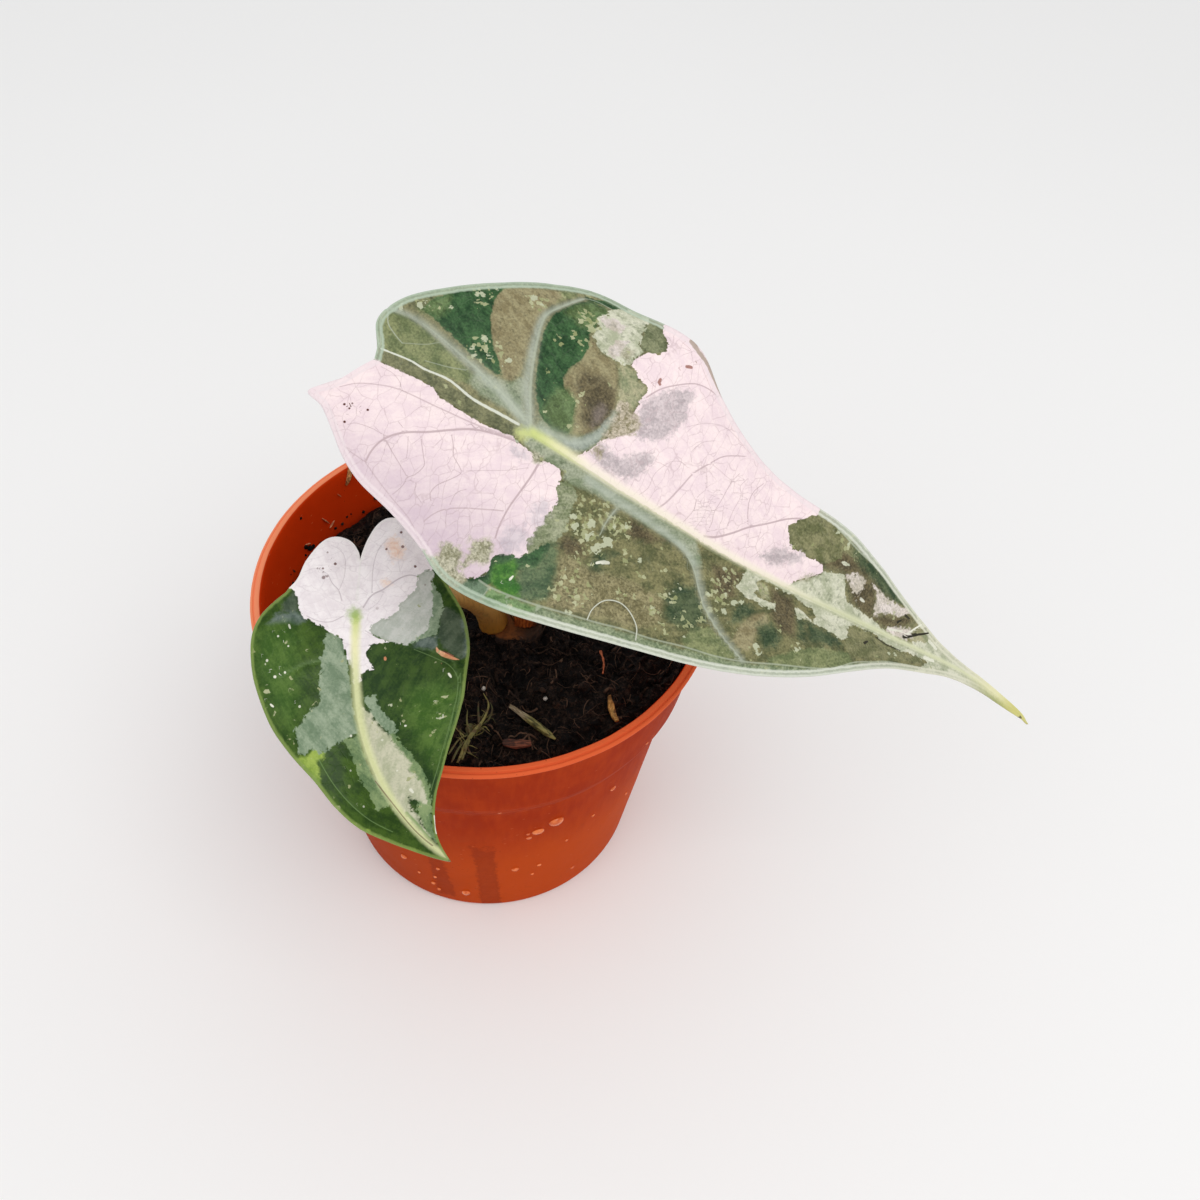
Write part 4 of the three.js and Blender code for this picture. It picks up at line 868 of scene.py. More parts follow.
SMALL_MARKS = [
    ([(7.4, 14.6), (8.6, 16.2)], 0.12, 0.16, 0.75), ([(12, 15.3), (12.6, 15.6)], 0.24, 0.16, -1),
    ([(2.5, -10.3), (3, -10.1)], 0.18, 0.13, -0.7), ([(5.8, -10.2)], 0.15, 0.15, -0.9), ([(9.6, -10.7)], 0.17, 0.17, -1),
    ([(10.1, -12.3)], 0.25, 0.25, -1), ([(14.1, -13.2), (14.4, -12.8)], 0.18, 0.14, -1), ([(7.8, -13.5)], 0.2, 0.2, -0.8),
    ([(4.3, -11.9)], 0.17, 0.17, -0.8), ([(14.8, -8.7)], 0.18, 0.18, -0.7), ([(20.1, -1.6)], 0.2, 0.2, -0.8),
    ([(-8, -3.9)], 0.26, 0.26, 0.9), ([(-10, -5.4)], 0.17, 0.17, 0.6), ([(-7, -5.8)], 0.2, 0.2, 0.8),
    ([(-7, -6.7)], 0.16, 0.16, 0.5), ([(-5.4, -5.5)], 0.34, 0.34, 0.7), ([(-5.7, -4.9)], 0.2, 0.2, 0.6),
    ([(-14.2, 6.5)], 0.24, 0.24, 0.9), ([(-11.5, 7)], 0.26, 0.26, 0.8), ([(-11, 4.3)], 0.22, 0.22, 0.9),
    ([(-8.1, 9.4)], 0.25, 0.25, 0.9), ([(-0.5, 3.7)], 0.28, 0.28, 0.3), ([(-5.1, 11.3)], 0.2, 0.2, 0.4),
    # A painted shadow line beside the midrib towards the tip, drawn as a dark mark
    ([(28, -0.5), (30, -0.2), (33, 0.1), (35.5, 0.2), (38.5, 0.2), (42.8, 0.4)], 0.1, 0.14, 0.6),
    ([(32.4, 3.5), (33.1, 3.6)], 0.24, 0.2, -0.8), ([(22.2, 2.9)], 0.2, 0.2, -0.6), ([(28.2, 3.2)], 0.16, 0.16, -0.6),
    ([(21, 7)], 0.2, 0.2, -0.9), ([(21, 13.2), (21.8, 13)], 0.18, 0.12, -0.5), ([(25, -3.4)], 0.14, 0.14, -0.5),
    ([(30.4, -4.2)], 0.16, 0.16, -0.5), ([(47, 0)], 0.35, 0.35, 0.5), ([(39, 3.9), (42, 2.2)], 0.1, 0.12, -0.9),
]
SMALL_SPLASHES = [(21.4, 12.6, 0.3), (17.2, 12.6, 0.22), (8.1, -13.4, 0.2), (16.4, 5.4, 0.2)]
SMALL_SPECKS = [(21, 13, 0.8), (26, -1.5, 0.5), (12, -13.6, 0.8), (19, -10.8, 0.5)]


# Leaf values and meshes
def line_values(points, lines, reach=1.0):
    """Each point's offset from its nearest line, in half widths of that line, and the line's strength."""
    best = np.full(len(points), np.inf)
    values = np.zeros((len(points), 3))
    values[:, :2] = 9
    for knots, start_width, end_width, strength in lines:
        path = smooth_curve(knots, 8) if len(knots) > 1 else np.array([knots[0], knots[0]], float)
        offsets, share = nearest_on_line(points, path)
        width = start_width + (end_width - start_width) * share
        distance = np.linalg.norm(offsets, axis=1)
        nearer = (distance / width < best) & (distance < reach + width)
        best[nearer] = (distance / width)[nearer]
        values[nearer, :2] = offsets[nearer] / width[nearer, None]
        values[nearer, 2] = strength
    return values


def soft_lines(points, lines):
    """How strongly soft veins show at each point, from 0 to 1."""
    strongest = np.zeros(len(points))
    for knots, start_width, end_width, strength in lines:
        offsets, share = nearest_on_line(points, smooth_curve(knots, 8))
        width = start_width + (end_width - start_width) * share
        strongest = np.maximum(strongest, strength * np.exp(-(offsets ** 2).sum(axis=1) / width ** 2))
    return strongest


def leaf_piece(name, blade, drawing, steps, columns, materials, relief):
    grid = blade.grid(steps, columns)
    rows, width = grid.shape[:2]
    flat = grid.reshape(-1, 2)
    s, t = flat.T
    edge = np.maximum(inside_distance(flat, blade.outline()), 0)
    floats = {"edge": edge, "broad": soft_lines(flat, drawing["broad"])}
    for label, outlines in drawing["sectors"].items():
        floats[label] = np.max([inside_distance(flat, outline) for outline in outlines], axis=0)
    for label in ("specks", "splashes"):
        floats[label] = np.max([size - np.hypot(s - x, t - y) for x, y, size in drawing[label]], axis=0)
    rib_half_width = 0.95 * np.clip((blade.tip - s) / blade.tip, 0.25, 1)
    floats["rib"] = np.exp(-(t / rib_half_width) ** 2) * smooth_step(s, -3, 0.5)
    vectors = {
        "leaf": np.stack([s, t, np.zeros_like(s)], axis=1),
        **{label: line_values(flat, drawing[label]) for label in ("fine", "suture", "marks")},
    }
    rise, thickness = relief(s, t, floats, vectors)
    reshape = lambda values: np.asarray(values).reshape(rows, width, -1)
    upper = reshape(blade.place(s, t, -rise))
    lower = reshape(blade.place(s, t, thickness - rise))
    ends = np.sin(np.pi * np.linspace(0, 1, rows))[:, None] ** 0.25
    swell = 0.12 * ends
    margins = []
    for edge_column, next_column in ((-1, -2), (0, 1)):
        outward = unit(upper[:, edge_column] - upper[:, next_column])
        middle = (upper[:, edge_column] + lower[:, edge_column]) / 2
        margins.append((middle + swell * outward)[:, None])
    rings = np.concatenate([upper, margins[0], lower[:, ::-1], margins[1]], axis=1)
    source = [*range(width), width - 1, *range(width - 1, -1, -1), 0]
    spread = lambda values: reshape(values)[:, source].reshape(rows * len(source), -1)
    count = len(source)
    faces = grid_faces(rows, count, wrap=True)
    column = np.tile(np.arange(count), rows - 1)
    underside = ((column > width) & (column < 2 * width)).astype(int)
    return make_object(
        name, rings.reshape(-1, 3), faces, materials,
        {label: spread(values) for label, values in floats.items()},
        {label: spread(values) for label, values in vectors.items()},
        underside, merge=True,
    )


def margin_calm(edge):
    return smooth_step(edge, 0, 5)


def relief_large(s, t, floats, vectors):
    plane = np.stack([s, t], axis=1)
    edge = floats["edge"]
    calm = np.clip((118 - s) / 60, 0.15, 1)
    offsets, _ = nearest_on_line(plane, smooth_curve([(-24, 1), (0, 0.5), (60, 0), (117, 0)], 8))
    from_rib = np.linalg.norm(offsets, axis=1)
    quilt = 0.45 * (1 - np.exp(-(from_rib / 4) ** 2)) * (1 - floats["broad"]) * margin_calm(edge)
    waves = 0.16 * lattice_noise(plane, 0.16, 1) + 0.07 * lattice_noise(plane, 0.42, 2)
    fine = vectors["fine"]
    crease = 0.07 * np.exp(-(fine[:, 0] ** 2 + fine[:, 1] ** 2) / 4) * np.abs(fine[:, 2])
    ridge = 0.3 * floats["rib"] - 0.22 * np.exp(-((np.abs(t) - 1.5) / 0.8) ** 2) * smooth_step(s, -4, 4)
    rise = calm * (quilt + waves) + ridge * calm - 0.3 * floats["broad"] * calm - crease
    fade = np.where(s < 0, np.clip(1 + s / 12, 0, 1), np.clip((LARGE.tip - s) / LARGE.tip, 0, 1))
    rib = LARGE.rib_depth * fade * np.exp(-(t / RIB_WIDTH) ** 2)
    sheet = BLADE_THICKNESS - 0.35 * (1 - smooth_step(edge, 0, 2.5))
    return rise, sheet + rib + 0.4 * floats["broad"] * calm + 2 * crease


def relief_small(s, t, floats, vectors):
    plane = np.stack([s, t], axis=1)
    edge = floats["edge"]
    calm = np.clip((50 - s) / 30, 0.15, 1)
    waves = 0.14 * lattice_noise(plane, 0.2, 3) + 0.06 * lattice_noise(plane, 0.5, 4)
    lobe_step = 0.9 * np.exp(-((s + 1) / 3) ** 2 - ((t + 11) / 2.4) ** 2) * smooth_step(-floats["pink"], -0.3, 0.5)
    fine = vectors["fine"]
    crease = 0.06 * np.exp(-(fine[:, 0] ** 2 + fine[:, 1] ** 2) / 4) * np.abs(fine[:, 2])
    quilt = 0.3 * (1 - np.exp(-(t / 3) ** 2)) * margin_calm(edge)
    rise = calm * (quilt + waves + 0.3 * floats["rib"]) - 0.25 * floats["broad"] - crease - lobe_step
    fade = np.where(s < 0, np.clip(1 + s / 12, 0, 1), np.clip((SMALL.tip - s) / SMALL.tip, 0, 1))
    rib = SMALL.rib_depth * fade * np.exp(-(t / RIB_WIDTH) ** 2)
    sheet = BLADE_THICKNESS - 0.35 * (1 - smooth_step(edge, 0, 2.5))
    return rise, sheet + rib + 2 * crease


LARGE_DRAWING = {
    "sectors": LARGE_SECTORS, "broad": LARGE_BROAD_VEINS, "fine": LARGE_FINE_VEINS, "suture": LARGE_SUTURE,
    "marks": LARGE_MARKS, "splashes": LARGE_SPLASHES, "specks": LARGE_SPECKS,
}
SMALL_DRAWING = {
    "sectors": SMALL_SECTORS, "broad": SMALL_BROAD_VEINS, "fine": SMALL_FINE_VEINS, "suture": SMALL_SUTURE,
    "marks": SMALL_MARKS, "splashes": SMALL_SPLASHES, "specks": SMALL_SPECKS,
}
# Each sector's two tones, how ragged its edge is in millimetres, and how soft
LARGE_TONES = {
    "moss": (colour(98, 110, 72), colour(138, 144, 102), 0.6, 0.4),
    "sage": (colour(126, 138, 110), colour(164, 170, 148), 0.6, 0.5),
    "tan": (colour(130, 120, 88), colour(158, 150, 116), 0.6, 0.4),
    "dun": (colour(110, 104, 72), colour(156, 148, 112), 0.9, 0.7),
    "umber": (colour(76, 68, 48), colour(116, 106, 78), 1.0, 0.8),
    "lilac": (colour(108, 98, 90), colour(130, 118, 110), 0.8, 0.8),
    # A pale vein's colour with a painted sheen
    "haze": (colour(134, 144, 136), colour(160, 168, 158), 0.5, 0.5),
    "olive": (colour(98, 102, 66), colour(140, 138, 102), 0.7, 0.15),
    "teal": (colour(46, 66, 42), colour(92, 104, 74), 1.3, 0.9),
    "green": (colour(30, 64, 34), colour(66, 102, 62), 0.5, 0.15),
    "deep": (colour(62, 86, 58), colour(106, 122, 88), 1.2, 0.8),
    "grass": (colour(78, 98, 56), colour(108, 130, 86), 0.8, 0.8),
    "bright": (colour(48, 102, 32), colour(90, 138, 56), 0.7, 0.5),
    "khaki": (colour(134, 142, 108), colour(174, 170, 138), 1.1, 0.35),
    "rim_green": (colour(78, 112, 62), colour(124, 152, 104), 0.6, 0.4),
    "rim_shade": (colour(84, 108, 84), colour(112, 134, 110), 0.5, 0.25),
    "rim_band": (colour(106, 122, 92), colour(150, 160, 130), 0.6, 0.5),
    "grey": (colour(114, 124, 90), colour(164, 168, 140), 0.9, 0.12),
    # The dull patch's own colour
    "dull": (colour(98, 106, 76), colour(138, 142, 110), 0.9, 0.15),
    "pale": (colour(172, 177, 150), colour(214, 214, 194), 0.9, 0.1),
    "pink": (colour(239, 219, 224), colour(250, 232, 232), 0.8, 0.07),
    # A soft greyish painted reflection
    "veil": (colour(206, 194, 200), colour(230, 217, 220), 1.8, 0.8),
    "stipple": (colour(178, 167, 170), colour(220, 206, 208), 2.0, 0.55),
    "blush": (colour(192, 184, 170), colour(222, 212, 208), 1.1, 0.2),
    "freckle": (colour(136, 128, 98), colour(206, 194, 178), 1.3, 0.4),
    "sage_bits": (colour(134, 132, 104), colour(194, 190, 170), 1.2, 0.5),
    "seam": (colour(92, 96, 70), colour(130, 130, 98), 0.5, 0.12),
}
SMALL_TONES = {
    "shade": (colour(58, 74, 56), colour(88, 102, 82), 0.8, 0.4),
    # Painted highlights, and one teal patch of the leaf's own
    "mist": (colour(76, 92, 84), colour(110, 124, 116), 0.8, 0.5),
    "fresh": (colour(54, 88, 26), colour(84, 114, 48), 1.6, 2.0),
    "lime": (colour(112, 142, 46), colour(156, 178, 80), 0.9, 0.3),
    "sage": (colour(108, 130, 102), colour(150, 166, 140), 1.1, 0.12),
    "olive": (colour(92, 118, 78), colour(136, 156, 108), 1.1, 0.12),
    "cream": (colour(174, 178, 148), colour(202, 200, 176), 0.9, 0.3),
    "pale": (colour(178, 184, 174), colour(200, 202, 196), 1.0, 0.12),
    "pink": (colour(234, 226, 229), colour(247, 241, 242), 0.8, 0.07),
    "stain": (colour(238, 204, 184), colour(247, 230, 220), 1.6, 0.7),
    "flake": (colour(200, 130, 90), colour(232, 176, 138), 0.2, 0.08),
}
# The large leaf's olive-brown base tones are partly its own colour and partly a painted reflection of the surroundings
# on its glossy green
LARGE_LOOK = {
    "lower": (colour(88, 92, 60), colour(134, 130, 92)), "upper": (colour(104, 106, 76), colour(146, 142, 106)),
    "vein_on_pink": colour(190, 168, 172), "vein_on_green": colour(184, 192, 172), "net_on_green": 0.12,
    "haze": colour(184, 192, 178), "margin": colour(222, 226, 213), "margin_on_pink": colour(236, 222, 225),
    "margin_width": 0.85, "rib_centre": 0.95, "rib_width": 1.0, "rib_tone": colour(244, 235, 218), "ridge": 0.35,
    "rib_end": colour(214, 217, 182), "seat": colour(212, 220, 144), "gloss": 0.45, "coat": 0.02,
    "speckled": ("freckle", "umber", "dun", "sage_bits", "rim_band", "stipple"), "coarse": 0.8, "net": 1.0,
    "dull": 1.0, "pits": 0.5, "margin_near": colour(182, 198, 178), "seat_place": -0.2,
}
SMALL_LOOK = {
    "lower": (colour(34, 62, 8), colour(64, 92, 26)), "upper": (colour(28, 56, 14), colour(58, 84, 30)),
    "vein_on_pink": colour(188, 176, 182), "vein_on_green": colour(116, 146, 88), "net_on_green": 0.1,
    "haze": colour(120, 150, 96), "margin": colour(126, 148, 76), "margin_on_pink": colour(240, 236, 234),
    "margin_width": 0.3, "rib_centre": 0.3, "rib_width": 0.85, "rib_tone": colour(216, 220, 166), "ridge": 0.0,
    "rib_end": colour(216, 220, 166), "seat": colour(150, 180, 92), "gloss": 0.34, "coat": 0.05, "speckled": ("stain",),
    "coarse": 0.2, "net": 0.6, "dull": 0.0, "pits": 0.0, "margin_near": colour(126, 148, 76), "seat_place": 0.5,
}


def leaf_material(name, tones, look):
    """The upper face of a leaf: its sectors, flecks, net, veins, midrib, margin and scabs, with painted shade, sheen
    and reflections among them.
    """
    shader = Shader(name, coat_weight=look["coat"], coat_roughness=0.2, specular_ior_level=0.16)
    leaf = shader.vector("leaf")
    along, across, _ = shader.parts(leaf)
    mirrored = shader.node("CombineXYZ", {0: along, 1: shader.math("ABSOLUTE", across)})
    turned = shader.node("VectorRotate", {"Vector": mirrored, "Angle": 0.56}, rotation_type="Z_AXIS")
    streak = shader.noise(shader.stretch(turned, (0.35, 1.5, 1.0)), 0.55, 4, 0.62)
    mottle = shader.noise(leaf, 0.34, 5, 0.64)
    grain = shader.noise(leaf, 2.6, 3, 0.6)
    wander = shader.add(shader.noise(leaf, 1.1, 3, 0.6), -0.5)
    blocks = shader.add(shader.cells(leaf, 1.4, output="Color"), -0.5)
    shift = shader.total((wander, 1.1), (blocks, 0.6))
    blotch = shader.step(shader.total((mottle, 0.5), (streak, 0.35), (grain, 0.15)), 0.41, 0.59)
    speckle = shader.step(shader.total((grain, 0.45), (mottle, 0.4), (blocks, 0.2)), 0.28, 0.58)
    base = shader.mix(
        shader.step(across, -0.4, 0.4), shader.mix(blotch, *look["lower"]), shader.mix(blotch, *look["upper"]),
    )
    masks = {}
    for label, (dark, light, ragged, soft) in tones.items():
        distance = shader.add(shader.value(label), shader.times(shift, ragged))
        masks[label] = shader.step(distance, -soft, soft)
        tone = shader.mix(speckle if label in look["speckled"] else blotch, dark, light)
        if label == "pink":
            rim = shader.times(shader.step(distance, -0.8, -0.05), shader.step(distance, -0.05, 0.02, 1.0, 0.0))
            base = shader.mix(shader.times(rim, 0.5), base, (0.6, 0.64, 0.55, 1.0), "MULTIPLY")
        base = shader.mix(masks[label], base, tone)
    pink = shader.times(masks["pink"], shader.math("SUBTRACT", 1.0, masks.get("sage_bits", 0.0)))
    green = shader.math("SUBTRACT", 1.0, pink)
    # Painted shade: the pink of the near lobe is darkened towards its margin
    dull = shader.times(shader.step(across, -24, -5, look["dull"], 0.0), shader.step(along, 2, 14, 1.0, 0.0))
    base = shader.mix(shader.times(pink, dull), base, (0.72, 0.7, 0.76, 1.0), "MULTIPLY")
    coarse = shader.mix(shader.step(grain, 0.3, 0.7), (0.8, 0.8, 0.78, 1.0), (1.16, 1.16, 1.12, 1.0))
    calm = shader.step(masks["pale"], 0.0, 1.0, look["coarse"], 0.4 * look["coarse"])
    base = shader.mix(shader.times(green, calm), base, coarse, "MULTIPLY")

    chips = shader.parts(shader.cells(shader.warp(leaf, 1.2, 0.7), 1.7, output="Color"))
    crowd = shader.add(shader.value("specks"), shader.times(wander, 2.5))
    rarity = shader.step(crowd, -0.8, 1.6, 1.0, 0.62)
    rarity = shader.add(rarity, shader.times(shader.add(mottle, -0.5), -0.5))
    flecks = shader.times(shader.step(shader.math("SUBTRACT", chips[0], rarity), 0.0, 0.03), green)
    dark_chips = shader.parts(shader.cells(shader.warp(leaf, 1.5, 0.5), 2.6, output="Color"))
    pits = shader.times(shader.step(dark_chips[2], 0.9, 0.95, 0.0, look["pits"]), green)
    base = shader.mix(pits, base, (0.5, 0.52, 0.5, 1.0), "MULTIPLY")
    fleck_tone = shader.mix(chips[1], colour(150, 156, 106), colour(192, 194, 156))
    base = shader.mix(shader.times(flecks, 0.8), base, fleck_tone)
    splash = shader.step(shader.add(shader.value("splashes"), shader.times(shift, 1.1)), -0.05, 0.06)
    base = shader.mix(shader.times(splash, 0.85), base, colour(192, 197, 168))

    warped = shader.warp(leaf, 0.4, 0.9)
    net = shader.cells(shader.stretch(warped, (0.55, 0.33, 1.0)), 1.0, "DISTANCE_TO_EDGE")
    fine_net = shader.cells(shader.stretch(warped, (1.1, 0.9, 1.0)), 1.0, "DISTANCE_TO_EDGE")
    net_line = shader.step(net, 0.0, 0.04, 1.0, 0.0)
    fine_net_line = shader.step(fine_net, 0.0, 0.06, 1.0, 0.0)
    fading = shader.step(shader.noise(leaf, 0.3, 2), 0.35, 0.6, 0.25, 1.0)
    net_share = shader.times(shader.total((net_line, 0.42), (fine_net_line, 0.16)), fading)
    net_share = shader.times(net_share, shader.step(pink, 0.0, 1.0, look["net_on_green"], 1.0))
    vein_tone = shader.mix(pink, look["vein_on_green"], look["vein_on_pink"])
    base = shader.mix(shader.times(net_share, look["net"]), base, vein_tone)
    # The broad veins: their own pale colour with a painted sheen along them
    broad = shader.times(shader.value("broad"), shader.step(streak, 0.3, 0.6, 0.65, 0.95))
    base = shader.mix(broad, base, look["haze"])
    fine_vein, fine_share = shader.line("fine", 0.4, 1.5)
    base = shader.mix(shader.times(shader.times(fine_vein, fine_share), 0.85), base, vein_tone)

    width = shader.step(along, 0.0, 110.0, look["rib_width"], 0.45 * look["rib_width"])
    centre = shader.step(along, 36, 62, look["rib_centre"], 0.5 * look["rib_centre"])
    from_rib = shader.math("ABSOLUTE", shader.math("SUBTRACT", across, centre))
    from_rib = shader.math("DIVIDE", shader.add(from_rib, shader.times(wander, 0.35)), width)
    rib = shader.times(shader.step(from_rib, 0.1, 1.5, 1.0, 0.0), shader.step(along, -0.6, 1.2))
    rib_tone = shader.mix(shader.step(along, 1, 6), colour(212, 222, 142), colour(238, 236, 186))
    rib_tone = shader.mix(shader.step(along, 5, 12), rib_tone, look["rib_tone"])
    rib_tone = shader.mix(shader.step(along, 40, 64), rib_tone, look["rib_end"])
    base = shader.mix(shader.times(rib, 0.95), base, rib_tone)
    ridge = shader.math("ABSOLUTE", shader.add(across, shader.add(shader.times(wander, 0.3), -0.3)))
    ridge = shader.times(shader.step(ridge, 0.1, 0.4, look["ridge"], 0.0), shader.step(along, 0, 2))
    ridge = shader.times(ridge, shader.step(along, 30, 80, 1.0, 0.35))
    base = shader.mix(ridge, base, shader.mix(shader.step(along, 4, 14), colour(206, 216, 132), colour(202, 206, 158)))
    shadow = shader.step(shader.math("ABSOLUTE", shader.add(across, 0.2)), 0.04, 0.2, 1.0, 0.0)
    shadow = shader.times(shadow, shader.step(along, 4, 10, 0.0, 0.3))
    base = shader.mix(shadow, base, colour(156, 164, 120))
    from_seat = shader.add(along, -look["seat_place"])
    from_seat = shader.length(shader.node("CombineXYZ", {0: shader.times(from_seat, 0.9), 1: across}))
    glow = shader.step(shader.add(from_seat, shader.times(wander, 2.0)), 0.2, 1.8, 0.8, 0.0)
    base = shader.mix(glow, base, look["seat"])
    suture, suture_share = shader.line("suture", 0.6, 1.4, shader.times(wander, 1.2))
    base = shader.mix(shader.times(suture, suture_share), base, colour(222, 225, 212))
    edge = shader.add(shader.value("edge"), shader.times(wander, 0.4))
    width = look["margin_width"]
    outer_line = shader.step(edge, 0.1 * width, 0.4 * width, 0.5, 0.0)
    inner_line = shader.step(shader.math("ABSOLUTE", shader.add(edge, -0.95 * width)), 0.1, 0.3, 0.5, 0.0)
    band = shader.step(edge, 0.8 * width, 1.4 * width, 0.45, 0.0)
    margin = shader.total((band, 1.0), (outer_line, 0.8), (inner_line, 0.8))
    margin_tone = shader.mix(shader.step(along, 6, 18), look["margin_near"], look["margin"])
    margin_tone = shader.mix(shader.step(along, 58, 84), margin_tone, colour(222, 221, 200))
    base = shader.mix(margin, base, shader.mix(pink, margin_tone, look["margin_on_pink"]))
    low_side = shader.step(shader.add(across, shader.times(wander, 1.2)), -1.0, 0.4, 1.0, 0.0)
    tip_tone = shader.mix(low_side, colour(232, 228, 178), colour(158, 164, 90))
    tip_tone = shader.mix(shader.step(along, 102, 111), tip_tone, colour(206, 200, 102))
    base = shader.mix(shader.step(along, 90, 104, 0.0, 0.85), base, tip_tone)
    # Marks: brown scabs and white dots; on the small leaf one brown mark is a painted shadow line beside the midrib
    mark, mark_share = shader.line("marks", 0.7, 1.2, shader.times(wander, 0.9))
    brown = shader.times(mark, shader.math("MAXIMUM", mark_share, 0.0))
    white = shader.times(mark, shader.math("MAXIMUM", shader.times(mark_share, -1.0), 0.0))
    scab_and_shadow_tone = shader.mix(shader.step(across, 15.0, 15.6), colour(92, 50, 42), colour(150, 92, 76))
    bruise = shader.step(shader.total((across, 1.0), (along, 0.5)), 33.6, 34.4)
    scab_and_shadow_tone = shader.mix(bruise, scab_and_shadow_tone, colour(150, 132, 106))
    base = shader.mix(brown, base, shader.mix(shader.step(along, 58, 62), scab_and_shadow_tone, colour(44, 42, 30)))
    base = shader.mix(white, base, colour(230, 230, 214))
    rough = shader.add(shader.step(pink, 0, 1, look["gloss"], 0.46), shader.times(shader.add(grain, -0.5), 0.2))
    height = shader.total((grain, 0.35), (net_line, -0.4), (fine_vein, -0.5), (streak, 0.5))
    return shader.finish(base, rough, height, depth=0.07, strength=0.8)


def underside_material(name, green, pale, vein):
    shader = Shader(name, specular_ior_level=0.4)
    leaf = shader.vector("leaf")
    mottle = shader.noise(leaf, 0.4, 4, 0.6)
    shift = shader.times(shader.add(shader.noise(leaf, 0.85, 4, 0.6), -0.5), 1.5)
    base = shader.mix(shader.step(mottle, 0.38, 0.62), *green)
    pink = shader.step(shader.add(shader.value("pink"), shift), -0.4, 0.4)
    base = shader.mix(pink, base, shader.mix(mottle, *pale))
    net = shader.step(shader.cells(leaf, 0.3, "DISTANCE_TO_EDGE"), 0.0, 0.06, 1.0, 0.0)
    base = shader.mix(shader.times(net, 0.3), base, vein)
    fine_vein, fine_share = shader.line("fine", 0.6, 1.8)
    base = shader.mix(shader.times(fine_vein, shader.times(fine_share, 0.7)), base, vein)
    base = shader.mix(shader.times(shader.value("broad"), 0.8), base, vein)
    base = shader.mix(shader.step(shader.value("rib"), 0.05, 0.5), base, vein)
    height = shader.add(shader.times(net, 0.5), shader.times(shader.noise(leaf, 2.4, 2), 0.3))
    return shader.finish(base, 0.55, height, depth=0.08)


def make_leaves():
    under = underside_material(
        "leaf_underside", (colour(112, 98, 92), colour(140, 134, 112)),
        (colour(226, 206, 210), colour(238, 222, 222)), colour(196, 192, 160),
    )
    large = leaf_material("large_leaf", LARGE_TONES, LARGE_LOOK)
    small = leaf_material("small_leaf", SMALL_TONES, SMALL_LOOK)
    show(leaf_piece("large_leaf", LARGE, LARGE_DRAWING, 14, 50, [large, under], relief_large), "blade", "blade_large")
    show(leaf_piece("small_leaf", SMALL, SMALL_DRAWING, 13, 42, [small, under], relief_small), "blade", "blade_small")


# The pot
def rounded(profile, radius, steps=3):
    """Rounds the corners of an open profile, except its two ends."""
    profile = np.asarray(profile, float)
    points = [profile[:1]]
    share = np.linspace(0, 1, steps + 1)[:, None]
    for before, corner, after in zip(profile[:-2], profile[1:-1], profile[2:]):
        reach = min(radius, 0.4 * np.linalg.norm(corner - before), 0.4 * np.linalg.norm(after - corner))
        start = corner + unit(before - corner) * reach
        end = corner + unit(after - corner) * reach
        points.append((1 - share) ** 2 * start + 2 * share * (1 - share) * corner + share ** 2 * end)
    return np.vstack([*points, profile[-1:]])


def refined(profile, spacing):
    """Adds points to the long straight stretches of a profile."""
    points = [profile[:1]]
    for start, end in zip(profile[:-1], profile[1:]):
        count = max(1, int(np.linalg.norm(end - start) / spacing))
        share = np.arange(1, count + 1)[:, None] / count
        points.append(start + (end - start) * share)
    return np.vstack(points)


POT_OUTER = [
    (0, 0), (32.3, 0), (33.3, 1), (39.4, 52.5), (39.7, 53.5), (41.4, 57), (41.9, 58.6), (43.9, 74.35),
    (44.7, 74.5), (45, 74.9), (45, 75.45), (44.75, 75.75), (44.5, 75.7), (44.35, 75.5), (44.2, 75.7),
    (44.1, 76), (43.3, 76),
]
POT_INNER = [
    (43, 75.6), (42.7, 74), (40.9, 58.6), (40.3, 57), (38.6, 53.5), (38.4, 52.5), (32.4, 2.4), (31.5, POT_FLOOR),
    (0, POT_FLOOR),
]
POT_PROFILE = np.array([(0, 0), (33.3, 0), (39.4, 52.5), (41.9, 58.6), (43.9, 74.4), (45, 76)])
# Wet streaks down the front: angle, half width in degrees, and the heights of top and foot
POT_STREAKS = [(-85, 3.7, 36, -3), (-101.5, 3.2, 28, 4)]


def pot_radius(height):
    """The outer radius of the pot at a height."""
    return np.interp(height, POT_PROFILE[:, 1], POT_PROFILE[:, 0])


def on_pot(angle, height, out=0.0):
    radius = pot_radius(height) + out
    turn = np.radians(angle)
    return np.stack([radius * np.cos(turn), radius * np.sin(turn), np.asarray(height, float) + 0 * turn], axis=-1)


